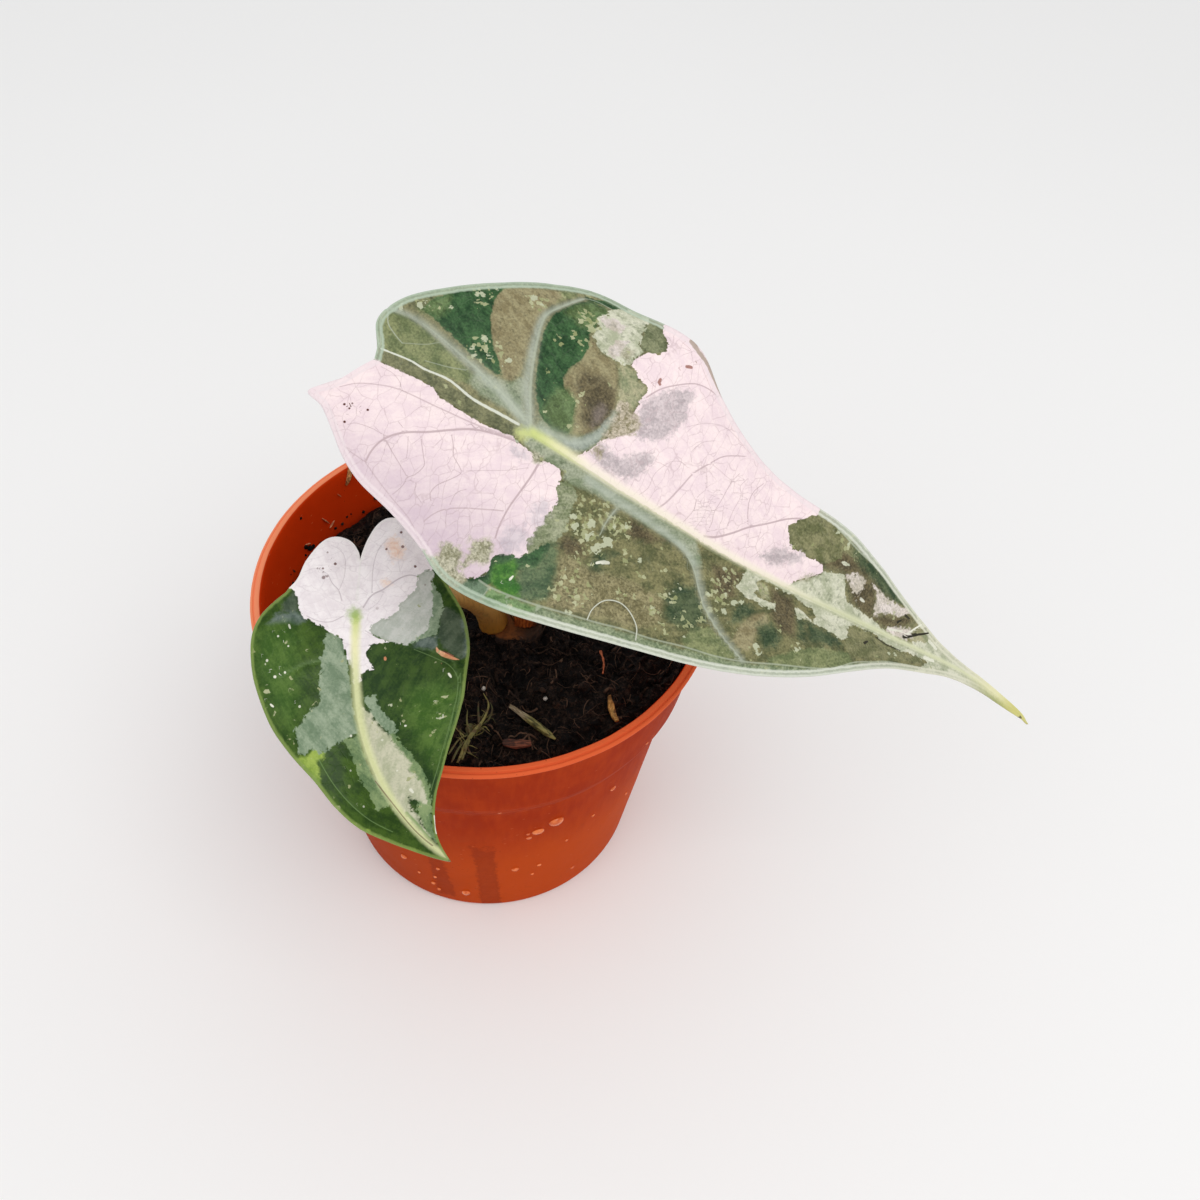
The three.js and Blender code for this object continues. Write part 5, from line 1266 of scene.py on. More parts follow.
def make_pot():
    segments = 288
    profile = rounded(np.array(POT_OUTER + POT_INNER), 0.35)
    profile = refined(profile, 1.6)
    angle = 2 * np.pi * np.arange(segments) / segments
    radius = profile[:, 0, None] * np.ones(segments)
    height = profile[:, 1, None] * np.ones(segments)
    points = np.stack([radius * np.cos(angle), radius * np.sin(angle), height], axis=-1)
    flat = points.reshape(-1, 3)
    dents = 0.04 * lattice_noise(flat, 0.25, 5) + 0.02 * lattice_noise(flat, 0.9, 6)
    outward = unit(flat * (1, 1, 0))
    lively = smooth_step(flat[:, 2], 2, 5)
    flat = flat + outward * (dents * lively)[:, None]
    turn = np.degrees(np.arctan2(flat[:, 1], flat[:, 0]))
    rows_inside = np.concatenate([[False], np.diff(profile[:, 1]) < 0]) & (profile[:, 0] < 43.2)
    inside = np.repeat((rows_inside & (profile[:, 1] > 1)).astype(float), segments)
    wet = np.zeros(len(flat))
    for centre, half_width, top, foot in POT_STREAKS:
        lean = centre + 0.05 * (top - flat[:, 2])
        in_width = half_width * (1 + 0.12 * np.sin(flat[:, 2] / 5)) - np.abs(turn - lean)
        in_height = np.minimum((top - flat[:, 2]) * 0.25, (flat[:, 2] - foot) * 0.8)
        wet = np.maximum(wet, smooth_step(np.minimum(in_width, in_height), -1.2, 1.6))
    piece = make_object(
        "pot_shell", flat, grid_faces(len(profile), segments, wrap=True), [pot_material()],
        {"inside": inside, "wet": wet * (1 - inside)}, merge=True,
    )
    cut_drain_holes(piece)
    return show(piece, "pot", "pot")


def cut_drain_holes(piece):
    drills = bmesh.new()
    for hole in range(DRAIN_COUNT):
        angle = 2 * math.pi * (hole + 0.5) / DRAIN_COUNT
        place = Matrix.Translation((DRAIN_CIRCLE * math.cos(angle) * MM, DRAIN_CIRCLE * math.sin(angle) * MM, 0))
        bmesh.ops.create_cone(
            drills, cap_ends=True, segments=32, radius1=DRAIN_RADIUS * MM, radius2=DRAIN_RADIUS * MM,
            depth=4 * POT_FLOOR * MM, matrix=place,
        )
    mesh = bpy.data.meshes.new("drills")
    drills.to_mesh(mesh)
    drills.free()
    drill = bpy.data.objects.new("drills", mesh)
    bpy.context.collection.objects.link(drill)
    cut = piece.modifiers.new("drain", "BOOLEAN")
    cut.object = drill
    cut.operation = "DIFFERENCE"
    bpy.context.view_layer.objects.active = piece
    bpy.ops.object.modifier_apply(modifier=cut.name)
    bpy.data.objects.remove(drill)


def pot_material():
    shader = Shader("terracotta_plastic", specular_ior_level=0.015)
    place = shader.place()
    side, _, height = shader.parts(place)
    cloud = shader.noise(place, 0.09, 4, 0.6)
    grain = shader.noise(place, 1.6, 3, 0.6)
    dust = shader.noise(place, 0.6, 5, 0.7)
    drawn = shader.noise(shader.stretch(place, (1.0, 1.0, 0.12)), 0.8, 3, 0.6)
    tone = shader.step(shader.total((cloud, 0.6), (drawn, 0.4)), 0.38, 0.62)
    outer = shader.mix(tone, colour(156, 44, 8), colour(172, 56, 12))
    # Painted light and shade: the wall is lighter towards its foot and darker higher up
    low = shader.step(shader.add(height, shader.times(shader.add(cloud, -0.5), 26)), 24, 48, 1.0, 0.0)
    outer = shader.mix(shader.times(low, 0.85), outer, colour(190, 72, 16))
    # Painted shade: the left side of the wall is darker
    painted_left_shade = shader.step(shader.add(side, shader.times(shader.add(cloud, -0.5), 20)), -26, 12, 0.75, 0.0)
    outer = shader.mix(painted_left_shade, outer, shader.mix(low, colour(136, 36, 6), colour(156, 54, 12)))
    outer = shader.mix(shader.step(dust, 0.58, 0.75, 0.0, 0.25), outer, colour(204, 96, 40))
    wet = shader.add(shader.value("wet"), shader.times(shader.add(dust, -0.5), 2.6))
    film = shader.step(wet, 0.15, 0.95)
    brim = shader.times(film, shader.step(wet, 0.7, 1.05, 1.0, 0.0))
    outer = shader.mix(shader.times(film, 0.5), outer, colour(136, 44, 14))
    outer = shader.mix(shader.times(brim, 0.3), outer, colour(122, 36, 10))
    # Painted light: the rim band is a lighter orange than the wall, with a painted highlight on its left side
    rim = shader.mix(shader.step(side, -40, -20), colour(244, 146, 106), colour(222, 98, 56))
    outer = shader.mix(shader.step(height, 74.2, 74.8), outer, rim)
    # Painted glow: the inside wall is a brighter orange than the outside, as light shining through the thin plastic
    base = shader.mix(shader.value("inside"), outer, shader.mix(cloud, colour(200, 52, 10), colour(216, 62, 14)))
    pits = shader.cells(place, 0.75)
    specks = shader.times(shader.step(pits, 0.06, 0.12, 1.0, 0.0), shader.step(cloud, 0.5, 0.56))
    base = shader.mix(shader.times(specks, 0.55), base, colour(92, 26, 10))
    scuffs = shader.cells(shader.stretch(place, (0.5, 0.5, 1.6)), 0.4)
    base = shader.mix(shader.step(scuffs, 0.03, 0.08, 0.35, 0.0), base, colour(236, 150, 112))
    height_map = shader.total((grain, 0.5), (dust, 0.5), (film, 0.2))
    return shader.finish(base, 0.5, height_map, depth=0.05, strength=0.6)


# Drops of water on the front of the pot: angle, height, width and length in millimetres
POT_DROPS = [
    (-62.4, 43.4, 3.2, 2.8), (-67.9, 41, 2.6, 2), (-71, 40.7, 0.8, 0.8), (-70.6, 38.6, 1.2, 1),
    (-79.4, 55.2, 0.9, 0.8), (-41.9, 43.8, 1.5, 1.3), (-92.5, 8.1, 1.9, 2), (-114.8, 19, 1.5, 1.6),
    (-74.5, 22.2, 1.7, 1.4), (-101.4, 19.9, 0.9, 0.9), (-103.4, 14, 0.8, 0.9), (-105, 9.4, 1, 1.1),
    (-103.2, 6.4, 0.9, 1), (-66, 21.4, 1, 0.9), (-68.2, 17, 0.8, 0.8), (-51.1, 9.9, 1, 0.8),
    (-57, 30, 0.7, 0.7), (-48, 36, 0.8, 0.7), (-110, 13, 0.7, 0.8), (-36, 60, 0.8, 0.7), (-30, 30, 0.9, 0.9),
]


def make_drops():
    pile = Pile()
    rings, sides = 7, 20
    around = 2 * np.pi * np.arange(sides) / sides
    for angle, height, width, length in POT_DROPS:
        bulge = 0.3 * min(width, length)
        rows = []
        for share in np.linspace(0.02, 1, rings):
            reach = math.sin(share * math.pi / 2)
            droop = 1 + 0.12 * np.sin(-around)
            arc = np.degrees(reach * width / 2 * np.cos(around) / pot_radius(height))
            rows.append(on_pot(
                angle + arc, height + reach * droop * length / 2 * np.sin(around),
                bulge * math.cos(share * math.pi / 2) - 0.04,
            ))
        rows.append(rows[-1] * (0.997, 0.997, 1))
        pile.add(*skin(np.array(rows)))
    shader = Shader("water_on_plastic", specular_ior_level=0.45)
    tone = shader.noise(shader.place(), 0.9, 2)
    base = shader.mix(shader.step(tone, 0.35, 0.65), colour(206, 92, 34), colour(232, 124, 62))
    return show(pile.make("water_drops", shader.finish(base, 0.16)), "pot")


# The potting mix
def soil_height(x, y):
    """The height of the CAD model's soil, on which everything on the ground is set."""
    radius = np.hypot(x, y)
    swell = 0.6 * np.sin(0.17 * x + 0.9) * np.cos(0.15 * y - 0.4)
    lumps = 0.4 * np.sin(0.55 * x + 0.37 * y + 1.1) + 0.3 * np.sin(0.93 * x - 0.71 * y + 2.3)
    crumbs = 0.2 * np.sin(1.9 * x + 0.6) * np.sin(2.1 * y + 1.7)
    mound = 0.8 * np.exp(-((x - STOCK_CENTRE[0]) ** 2 + (y - STOCK_CENTRE[1]) ** 2) / 90)
    hollow = -0.8 * np.clip((radius - 33) / 8, 0, 1)
    return SOIL_LEVEL + swell + lumps + crumbs + mound + hollow


def soil_roughness(x, y):
    """The clods, crumbs and hollows of the fine soil surface, in millimetres about the CAD model's."""
    plane = np.stack([x, y], axis=-1)
    parts = [(0.75, 0.34, 7), (0.6, 0.75, 8), (0.4, 1.5, 9), (0.2, 3.0, 10)]
    rough = sum(reach * lattice_noise(plane, scale, seed) for reach, scale, seed in parts)
    calm = 1 - smooth_step(np.hypot(x, y), 38.5, SOIL_EDGE)
    return (rough - 0.15) * calm


def soil_surface(x, y):
    """The height of the fine soil surface."""
    return soil_height(x, y) + soil_roughness(x, y)


def soil_material(name, low, high, reddish):
    shader = Shader(name, specular_ior_level=0.18)
    place = shader.place()
    tint = shader.value("tint")
    patch = shader.noise(place, 0.35, 5, 0.65)
    grain = shader.noise(place, 2.2, 5, 0.7)
    fibre = shader.noise(shader.stretch(shader.warp(place, 0.5, 4.0), (1.0, 5.0, 2.0)), 0.9, 3, 0.6, 1.5)
    clods = shader.noise(place, 0.8, 4, 0.6, 0.6)
    share = shader.step(shader.total((grain, 0.35), (patch, 0.25), (clods, 0.4)), 0.48, 0.64)
    base = shader.mix(share, low, high)
    base = shader.mix(shader.step(fibre, 0.56, 0.7, 0.0, 0.6), base, reddish)
    base = shader.mix(shader.step(tint, 0.55, 1.0, 0.0, 0.9), base, reddish)
    # A low tint darkens towards the dark tone: on the soil surface it is painted shade in the hollows, on crumbs and
    # fibres a random tone
    base = shader.mix(shader.step(tint, 0.0, 0.25, 0.85, 0.0), base, low)
    rough = shader.step(patch, 0.3, 0.7, 0.62, 0.92)
    return shader.finish(base, rough, shader.add(grain, fibre), depth=0.3)


SOIL_TONES = (colour(7, 5, 5), colour(76, 59, 49), colour(98, 71, 54))


def make_soil():
    sectors, rings = 400, 104
    angle = 2 * np.pi * np.arange(sectors) / sectors
    reach = SOIL_EDGE * np.linspace(0, 1, rings + 1) ** 0.7
    x = reach[:, None] * np.cos(angle)
    y = reach[:, None] * np.sin(angle)
    top = np.stack([x, y, soil_surface(x, y)], axis=-1)
    sides = []
    for radius, height in [(40.6, 58.6), (40, 57), (38.3, 53.5), (38.1, 52.5), (32.1, 2.4), (31.2, 1.7), (0, 1.7)]:
        ring = np.stack([radius * np.cos(angle), radius * np.sin(angle), np.full(sectors, height)], axis=-1)
        sides.append(ring[None])
    points = np.concatenate([top, *sides])
    tint = np.full(points.shape[:2], 0.3)
    # The tint follows the roughness, so the hollows take painted shade
    tint[:rings + 1] = np.clip(0.3 + 0.35 * soil_roughness(x, y), 0, 0.65)
    piece = make_object(
        "potting_mix", points.reshape(-1, 3), grid_faces(len(points), sectors, wrap=True),
        [soil_material("peat", *SOIL_TONES)], {"tint": tint}, merge=True,
    )
    return show(piece, "soil", "soil")


def ball(rings, sides):
    """Unit directions and faces of a small ball."""
    rows = []
    for share in np.linspace(0.06, 0.94, rings):
        turn = 2 * np.pi * np.arange(sides) / sides
        level = math.cos(math.pi * share)
        reach = math.sin(math.pi * share)
        rows.append(np.stack([reach * np.cos(turn), reach * np.sin(turn), np.full(sides, level)], axis=-1))
    return skin(np.array(rows))


def random_turn(random):
    """A random rotation, as three rows."""
    axes, _ = np.linalg.qr(random.normal(size=(3, 3)))
    return axes * np.sign(np.linalg.det(axes))


def clear_spot(random, limit, keep_out):
    """A random place within the limit radius and outside the circles to keep clear of."""
    while True:
        x, y = random.uniform(-limit, limit, 2)
        if math.hypot(x, y) < limit and all(math.hypot(x - a, y - b) > size for a, b, size in keep_out):
            return x, y


KEEP_CLEAR = [(*LARGE_BASE, 3.5), (*SMALL_BASE, 2.6), (*STOCK_CENTRE, 4.5)]


def make_crumbs():
    random = np.random.default_rng(11)
    pile = Pile()
    directions, faces = ball(6, 9)
    for _ in range(1700):
        x, y = clear_spot(random, 39.6, KEEP_CLEAR)
        size = 0.35 + 0.55 * random.random() ** 2 + (0.5 if random.random() < 0.08 else 0)
        lumps = 1 + 0.35 * lattice_noise(directions, 1.7, random.integers(1000))
        shape = directions * lumps[:, None] * size * random.uniform((0.8, 0.4, 0.3), (2.4, 0.9, 0.7))
        shape = shape @ random_turn(random)
        centre = (x, y, soil_surface(x, y) + 0.15 * size)
        pile.add(shape + centre, faces, random.random() * 0.75)
    return show(pile.make("soil_crumbs", soil_material("crumbs", *SOIL_TONES)), "soil")


# Longer brown roots on the soil near the front
ROOT_STRANDS = [
    [(3.7, -26.6), (5.4, -28), (7.1, -29.7)], [(7, -29.8), (7.6, -28.8), (9.6, -28.4), (12.5, -28.2)],
    [(11.5, -28.6), (12, -29.8), (12.6, -31)], [(14.6, -16.2), (15.4, -14), (15, -12)],
]


def make_fibres():
    random = np.random.default_rng(23)
    pile = Pile()
    for _ in range(1700):
        x, y = clear_spot(random, 38, KEEP_CLEAR)
        length = 1.5 + 7 * random.random() ** 2.5
        heading = random.uniform(0, 2 * math.pi)
        bend = random.normal(0, 0.6)
        share = np.linspace(0, 1, 7)
        turn = heading + bend * (share - 0.5) * 2
        path_x = x + np.cumsum(np.cos(turn)) * length / 7
        path_y = y + np.cumsum(np.sin(turn)) * length / 7
        reach = np.hypot(path_x, path_y)
        shrink = np.minimum(1, 40 / np.maximum(reach, 1e-6))
        path_x, path_y = path_x * shrink, path_y * shrink
        arch = random.uniform(0.05, 0.6) * np.sin(np.pi * share) + random.uniform(-0.2, 0.4) * share
        path = np.stack([path_x, path_y, soil_surface(path_x, path_y) + 0.15 + arch], axis=1)
        radius = random.uniform(0.06, 0.14) * (1 + 1.6 * (random.random() < 0.15)) * (1 - 0.6 * share)
        pile.add(*skin(tube_rings(path, radius, 5)), random.random())
    for points in ROOT_STRANDS:
        x, y = even_path(np.array(points), 16).T
        path = np.stack([x, y, soil_surface(x, y) + 0.45], axis=1)
        pile.add(*skin(tube_rings(path, np.linspace(0.2, 0.12, 16), 6)), 1.0)
    material = soil_material("root_fibre", colour(24, 18, 15), colour(78, 61, 52), colour(118, 92, 74))
    return show(pile.make("soil_fibres", material), "soil")


# Pale grains of perlite on the soil: x, y and size
PERLITE = [(1.7, -18.4, 0.45), (13.8, -19.6, 0.45), (28.5, -10, 0.35), (-6, 20, 0.5), (18, 14, 0.4)]


def make_perlite():
    random = np.random.default_rng(5)
    pile = Pile()
    directions, faces = ball(7, 12)
    for x, y, size in PERLITE:
        lumps = 1 + 0.3 * lattice_noise(directions, 2.2, random.integers(1000))
        centre = (x, y, soil_surface(x, y) + 0.6 * size)
        pile.add(directions * lumps[:, None] * size + centre, faces)
    shader = Shader("perlite", specular_ior_level=0.3)
    grain = shader.noise(shader.place(), 4, 3)
    base = shader.mix(grain, colour(196, 190, 178), colour(232, 228, 220))
    return show(pile.make("perlite", shader.finish(base, 0.8, grain, depth=0.1)), "soil")


# Rootstock, stems and sheath
def make_rootstock():
    profile = np.array([
        (0.3, STOCK_BOTTOM), (0.6, STOCK_BOTTOM + 0.6), (0.9, STOCK_BOTTOM + 8), (0.94, STOCK_BOTTOM + 17),
        (0.98, STOCK_TOP - 3), (0.97, STOCK_TOP - 1.2), (0.88, STOCK_TOP - 0.3), (0.6, STOCK_TOP), (0.2, STOCK_TOP),
    ])
    share, height = refined(rounded(profile, 0.2), 0.35).T
    angle = 2 * np.pi * np.arange(72) / 72
    scars = 0.25 * np.abs(np.sin(height * 2.1)) ** 3
    radius = STOCK_RADIUS * share[:, None] * (0.97 - 0.03 * np.sin(3 * angle + height[:, None] * 0.2))
    radius = radius - scars[:, None] * (share[:, None] > 0.85)
    spots = np.stack(np.broadcast_arrays(
        STOCK_CENTRE[0] + radius * np.cos(angle), STOCK_CENTRE[1] + radius * np.sin(angle), height[:, None],
    ), axis=-1)
    spots = spots + 0.12 * lattice_noise(spots, 1.1, 12)[..., None]
    shader = Shader("rootstock_skin", specular_ior_level=0.3)
    place = shader.place()
    grain = shader.noise(place, 1.1, 5, 0.7)
    base = shader.mix(shader.step(grain, 0.35, 0.65), colour(24, 17, 13), colour(62, 44, 30))
    crown = shader.times(shader.step(shader.parts(place)[2], 65.0, 65.8), shader.step(grain, 0.3, 0.6, 0.5, 1.0))
    side = shader.step(shader.parts(place)[0], 5.0, 9.0)
    base = shader.mix(crown, base, shader.mix(side, colour(134, 78, 32), colour(62, 40, 24)))
    piece = make_object("rootstock_skin", *skin(spots), [shader.finish(base, 0.75, grain, depth=0.3)])
    return show(piece, "rootstock", "rootstock")


def stem_path(blade, lower, straight_end):
    depth = BLADE_THICKNESS + blade.rib_depth - STEM_OVERLAP
    seat = blade.place(0.0, 0.0, depth)
    normal = blade.axes(np.array(0.0))[2]
    return [*lower, tuple(seat - straight_end * normal), tuple(seat)]


def stem_material(name, foot, middle, top, heights):
    shader = Shader(name, specular_ior_level=0.5)
    place = shader.place()
    height = shader.parts(place)[2]
    long_place = shader.node("VectorMath", {0: place, 1: (3.0, 3.0, 0.35)}, operation="MULTIPLY")
    streak = shader.noise(long_place, 0.9, 4, 0.6)
    blotch = shader.noise(place, 0.5, 4, 0.6)
    base = shader.mix(shader.step(height, *heights[:2]), foot, middle)
    base = shader.mix(shader.step(height, *heights[2:]), base, top)
    base = shader.mix(shader.step(streak, 0.45, 0.7, 0.0, 0.45), base, colour(136, 98, 46))
    base = shader.mix(shader.step(blotch, 0.56, 0.68, 0.0, 0.35), base, colour(120, 122, 70))
    return shader.finish(base, shader.step(blotch, 0.3, 0.7, 0.36, 0.5), streak, depth=0.08)


def make_stem(name, node, path, foot_radius, top_radius, thinning, material):
    steps = 90
    along = np.linspace(0, 1, steps)
    radii = top_radius + (foot_radius - top_radius) * np.exp(-along * thinning) + 0.35 * np.exp((along - 1) * 40)
    path = even_path(path, steps)
    for _ in range(60):
        path[1:-1] = (path[:-2] + 2 * path[1:-1] + path[2:]) / 4
    rings = tube_rings(path, radii, 32)
    centre = rings.mean(axis=1, keepdims=True)
    ridges = 1 + 0.02 * np.cos(5 * 2 * np.pi * np.arange(32) / 32 + 3 * along[:, None])
    rings = centre + (rings - centre) * ridges[..., None]
    rings = rings + 0.06 * lattice_noise(rings, 0.7, 14)[..., None]
    return show(make_object(name, *skin(rings), [material]), "stem", node)


def make_stems():
    large_path = stem_path(LARGE, [
        (*LARGE_BASE, STEM_FOOT), (*LARGE_BASE, STEM_FOOT + 4), (7.7, 0.8, 80), (6.9, -0.6, 94.5), (5.9, -5.4, 107.5),
    ], 6)
    small_path = stem_path(SMALL, [
        (*SMALL_BASE, STEM_FOOT), (1.3, -3.5, STEM_FOOT + 3), (-1.3, -7, 77.6), (-6.6, -13.6, 86), (-13, -21.4, 90.8),
    ], 2.4)
    large_skin = stem_material(
        "large_stem_skin", colour(150, 112, 60), colour(168, 150, 92), colour(172, 178, 122), (70, 82, 88, 112),
    )
    small_skin = stem_material(
        "small_stem_skin", colour(176, 126, 46), colour(198, 154, 84), colour(192, 182, 116), (66, 75, 84, 93),
    )
    make_stem("large_stem", "stem_large", large_path, LARGE_BASE_RADIUS, 1.9, 7, large_skin)
    make_stem("small_stem", "stem_small", small_path, SMALL_BASE_RADIUS + 0.7, 1.2, 1.7, small_skin)


def make_sheath():
    steps, rows = 84, 26
    share = np.linspace(0, 1, steps)
    angle = np.radians(-112 + 184 * share)
    middle = np.sin(np.pi * share)
    plane = np.stack([share * 30, np.zeros(steps)], axis=1)
    torn = 1.2 * lattice_noise(plane, 0.45, 15) + 0.8 * lattice_noise(plane, 1.3, 16)
    height = 3.5 + 6.5 * middle + torn * middle
    level = np.linspace(0, 1, rows)[:, None]
    ribs = 0.07 * np.cos(angle * 26) + 0.12 * lattice_noise(np.stack([share * 9, share * 0], axis=1), 1, 17)
    walls = []
    for out in (0.0, 1.0):
        flare = 1 + 0.1 * level ** 1.5
        thickness = 0.55 - 0.25 * level
        radius = (LARGE_BASE_RADIUS + CLEARANCE + 0.2 + out * thickness + ribs) * flare
        walls.append(np.stack([
            LARGE_BASE[0] + radius * np.cos(angle), LARGE_BASE[1] + radius * np.sin(angle),
            STEM_FOOT + height * level,
        ], axis=-1))
    inner, outer = walls
    rings = np.concatenate([outer, inner[:, ::-1]], axis=1)
    shader = Shader("sheath_paper", specular_ior_level=0.3)
    place = shader.place()
    long_place = shader.node("VectorMath", {0: place, 1: (3.0, 3.0, 0.4)}, operation="MULTIPLY")
    fibre = shader.noise(long_place, 0.9, 4, 0.65)
    stain = shader.noise(place, 0.35, 3)
    base = shader.mix(shader.step(fibre, 0.35, 0.65), colour(130, 60, 20), colour(190, 106, 44))
    base = shader.mix(shader.step(stain, 0.5, 0.68, 0.0, 0.6), base, colour(80, 36, 14))
    far_side = shader.step(shader.parts(place)[0], 8.6, 10.4, 0.0, 0.75)
    base = shader.mix(far_side, base, colour(52, 28, 16))
    piece = make_object("dry_sheath_paper", *skin(rings), [shader.finish(base, 0.6, fibre, depth=0.12)])
    return show(piece, "sheath", "dry_sheath")


# Litter on the soil, each piece on the highest ground under it as in the CAD model
def ground_under(x, y, reach):
    heights = [soil_height(x + dx, y + dy) for dx, dy in ((0, 0), (reach, 0), (-reach, 0), (0, reach), (0, -reach))]
    return np.max(heights, axis=0)


def litter_material(name, dark, light, stain, roughness=0.75, lengthwise=(1.0, 1.0, 1.0)):
    shader = Shader(name, specular_ior_level=0.35)
    place = shader.place()
    stretched = shader.node("VectorMath", {0: place, 1: lengthwise}, operation="MULTIPLY")
    fibre = shader.noise(stretched, 1.4, 4, 0.65)
    cloud = shader.noise(place, 0.6, 3)
    base = shader.mix(shader.step(fibre, 0.36, 0.64), dark, light)
    base = shader.mix(shader.step(cloud, 0.52, 0.66, 0.0, 0.7), base, stain)
    return shader.finish(base, roughness, fibre, depth=0.15)


def lying_path(start, end, radius, bow=0.0, steps=6):
    share = np.linspace(0, 1, steps)
    x = start[0] + (end[0] - start[0]) * share
    y = start[1] + (end[1] - start[1]) * share
    height = ground_under(x, y, radius).max() + radius + CLEARANCE
    return np.stack([x + bow * np.sin(np.pi * share), y, np.full(steps, height)], axis=1)


def make_straw():
    steps, sides = 60, 28
    path = even_path(lying_path((7.4, -22.7), (16.6, -29.3), 1.1), steps)
    share = np.linspace(0, 1, steps)[:, None]
    angle = 2 * np.pi * np.arange(sides) / sides
    swell = 1 + 0.12 * np.exp(-((share - 0.62) / 0.03) ** 2)
    grooves = 1 + 0.05 * np.cos(7 * angle)
    crush = 1 - 0.25 * np.exp(-share / 0.06) * (1 + np.sin(3 * angle))
    girth = 0.45 + 0.25 * smooth_step(share[:, 0], 0.1, 0.5) - 0.45 * smooth_step(share[:, 0], 0.8, 1.0)
    rings = tube_rings(path, girth, sides)
    centre = rings.mean(axis=1, keepdims=True)
    rings = centre + (rings - centre) * (swell * grooves * crush)[..., None]
    shader = Shader("straw", specular_ior_level=0.3)
    place = shader.place()
    turned = shader.node("VectorRotate", {"Vector": place, "Angle": 0.59}, rotation_type="Z_AXIS")
    fibre = shader.noise(shader.stretch(turned, (0.35, 2.2, 2.2)), 1.2, 4, 0.65)
    base = shader.mix(shader.step(fibre, 0.38, 0.62), colour(62, 62, 30), colour(152, 146, 86))
    torn = shader.step(shader.add(shader.value("along"), shader.times(fibre, 0.3)), 0.42, 0.62, 1.0, 0.0)
    base = shader.mix(torn, base, shader.mix(shader.step(fibre, 0.4, 0.6), colour(122, 108, 82), colour(178, 166, 136)))
    vertices, faces = skin(rings)
    along = {"along": np.repeat(share[:, 0], sides)}
    piece = make_object("straw_stalk_piece", vertices, faces, [shader.finish(base, 0.6, fibre, depth=0.2)], along)
    return show(piece, "straw", "straw_stalk")


def make_twig():
    path = even_path(lying_path((23.6, -7.6), (24.4, -13.2), 0.5, 0.4), 40)
    share = np.linspace(0, 1, 40)
    rings = tube_rings(path, 0.24 * (1 - 0.4 * share) + 0.04 * np.sin(share * 21), 16)
    rings = rings + 0.05 * lattice_noise(rings, 1.3, 18)[..., None]
    material = litter_material("twig_bark", colour(140, 66, 36), colour(200, 116, 76), colour(104, 48, 28))
    return show(make_object("twig_piece", *skin(rings), [material]), "bark", "twig")


def sliver(centre, length, width, thickness, turn, curl, seed):
    """A thin curled chip with ragged sides, turned about Z, on the highest ground under it."""
    steps, sides = 36, 24
    cosine, sine = math.cos(math.radians(turn)), math.sin(math.radians(turn))
    foot = np.linspace(-length / 2, length / 2, 5)
    ground = ground_under(centre[0] + foot * cosine, centre[1] + foot * sine, width / 2).max() + CLEARANCE
    share = np.linspace(0, 1, steps)[:, None]
    angle = 2 * np.pi * np.arange(sides) / sides
    taper = 0.35 + 0.65 * np.sin(np.pi * (0.12 + 0.76 * share))
    taper = taper + 0.08 * lattice_noise(np.stack([share[:, 0] * length, share[:, 0] * 0], 1), 0.9, seed)[:, None]
    side = np.sign(np.cos(angle)) * np.abs(np.cos(angle)) ** 0.6
    up = 0.5 + 0.5 * np.sign(np.sin(angle)) * np.abs(np.sin(angle)) ** 0.6
    along = (share - 0.5) * length + 0 * side
    across = side * taper * width / 2
    rise = ground + curl * (2 * share - 1) ** 2 + up * thickness * (0.8 + 0.2 * taper)
    points = np.stack([
        centre[0] + along * cosine - across * sine, centre[1] + along * sine + across * cosine, rise,
    ], axis=-1)
    return skin(points + 0.1 * lattice_noise(points, 1.2, seed + 1)[..., None])


def make_chips():
    bark = litter_material("bark_chip_skin", colour(60, 34, 24), colour(132, 76, 54), colour(38, 24, 19), lengthwise=(0.5, 2.4, 2.4))
    husk = litter_material("husk_skin", colour(136, 92, 40), colour(206, 156, 84), colour(66, 44, 24), lengthwise=(2.0, 0.8, 1.5))
    show(make_object("bark_chip_piece", *sliver((9.6, -31), 5.2, 1.9, 0.9, 4, 0.3, 31), [bark]), "bark", "bark_chip")
    show(make_object("husk_piece", *sliver((26.9, -22.4), 5.8, 1.25, 0.8, 108, 1.2, 41), [husk]), "husk", "husk")


TUFT_CENTRE = (0.6, -28.4)
# Seedling strands: points from the tuft's centre, and half width
TUFT_STRANDS = [
    ([(-1.3, -7.6, 0.6), (-0.2, -3.6, 1.1), (0.6, -1.4, 1.5), (2, 0.7, 1.9), (2.8, 2.9, 2.5), (2.8, 4.6, 2.9),
      (1.6, 6.4, 3.3)], 0.36),
    ([(-0.6, -6.8, 0.5), (0.3, -3, 1.6), (1.4, -0.6, 1.4), (2.4, 1.2, 1.2)], 0.34),
    ([(0.2, -1.6, 1.1), (-0.7, 0.6, 2), (-0.9, 3, 2.4)], 0.22),
    ([(1.7, 0.2, 1.3), (1.2, 2.4, 2.4), (0.9, 4.6, 3)], 0.26),
    ([(1.8, 0.6, 1.4), (3.2, 1.2, 2.2), (3.7, 3.2, 2.7), (3.1, 5, 2.6)], 0.2),
    ([(-2.4, -7.6, 0.5), (-1.4, -4.8, 1.3), (0, -2.4, 1.2)], 0.24),
    ([(-3.2, -6, 0.6), (-1.6, -3.2, 1.6), (0.4, -1.6, 1.3)], 0.2),
    ([(0.2, -1.2, 1.2), (2.2, -0.6, 1.8), (4.2, -1.4, 1)], 0.14),
    ([(-0.6, -2.2, 1), (-2.4, -1, 1.6), (-3.6, 0.8, 1.1)], 0.16),
]
TUFT_WISPS = 34


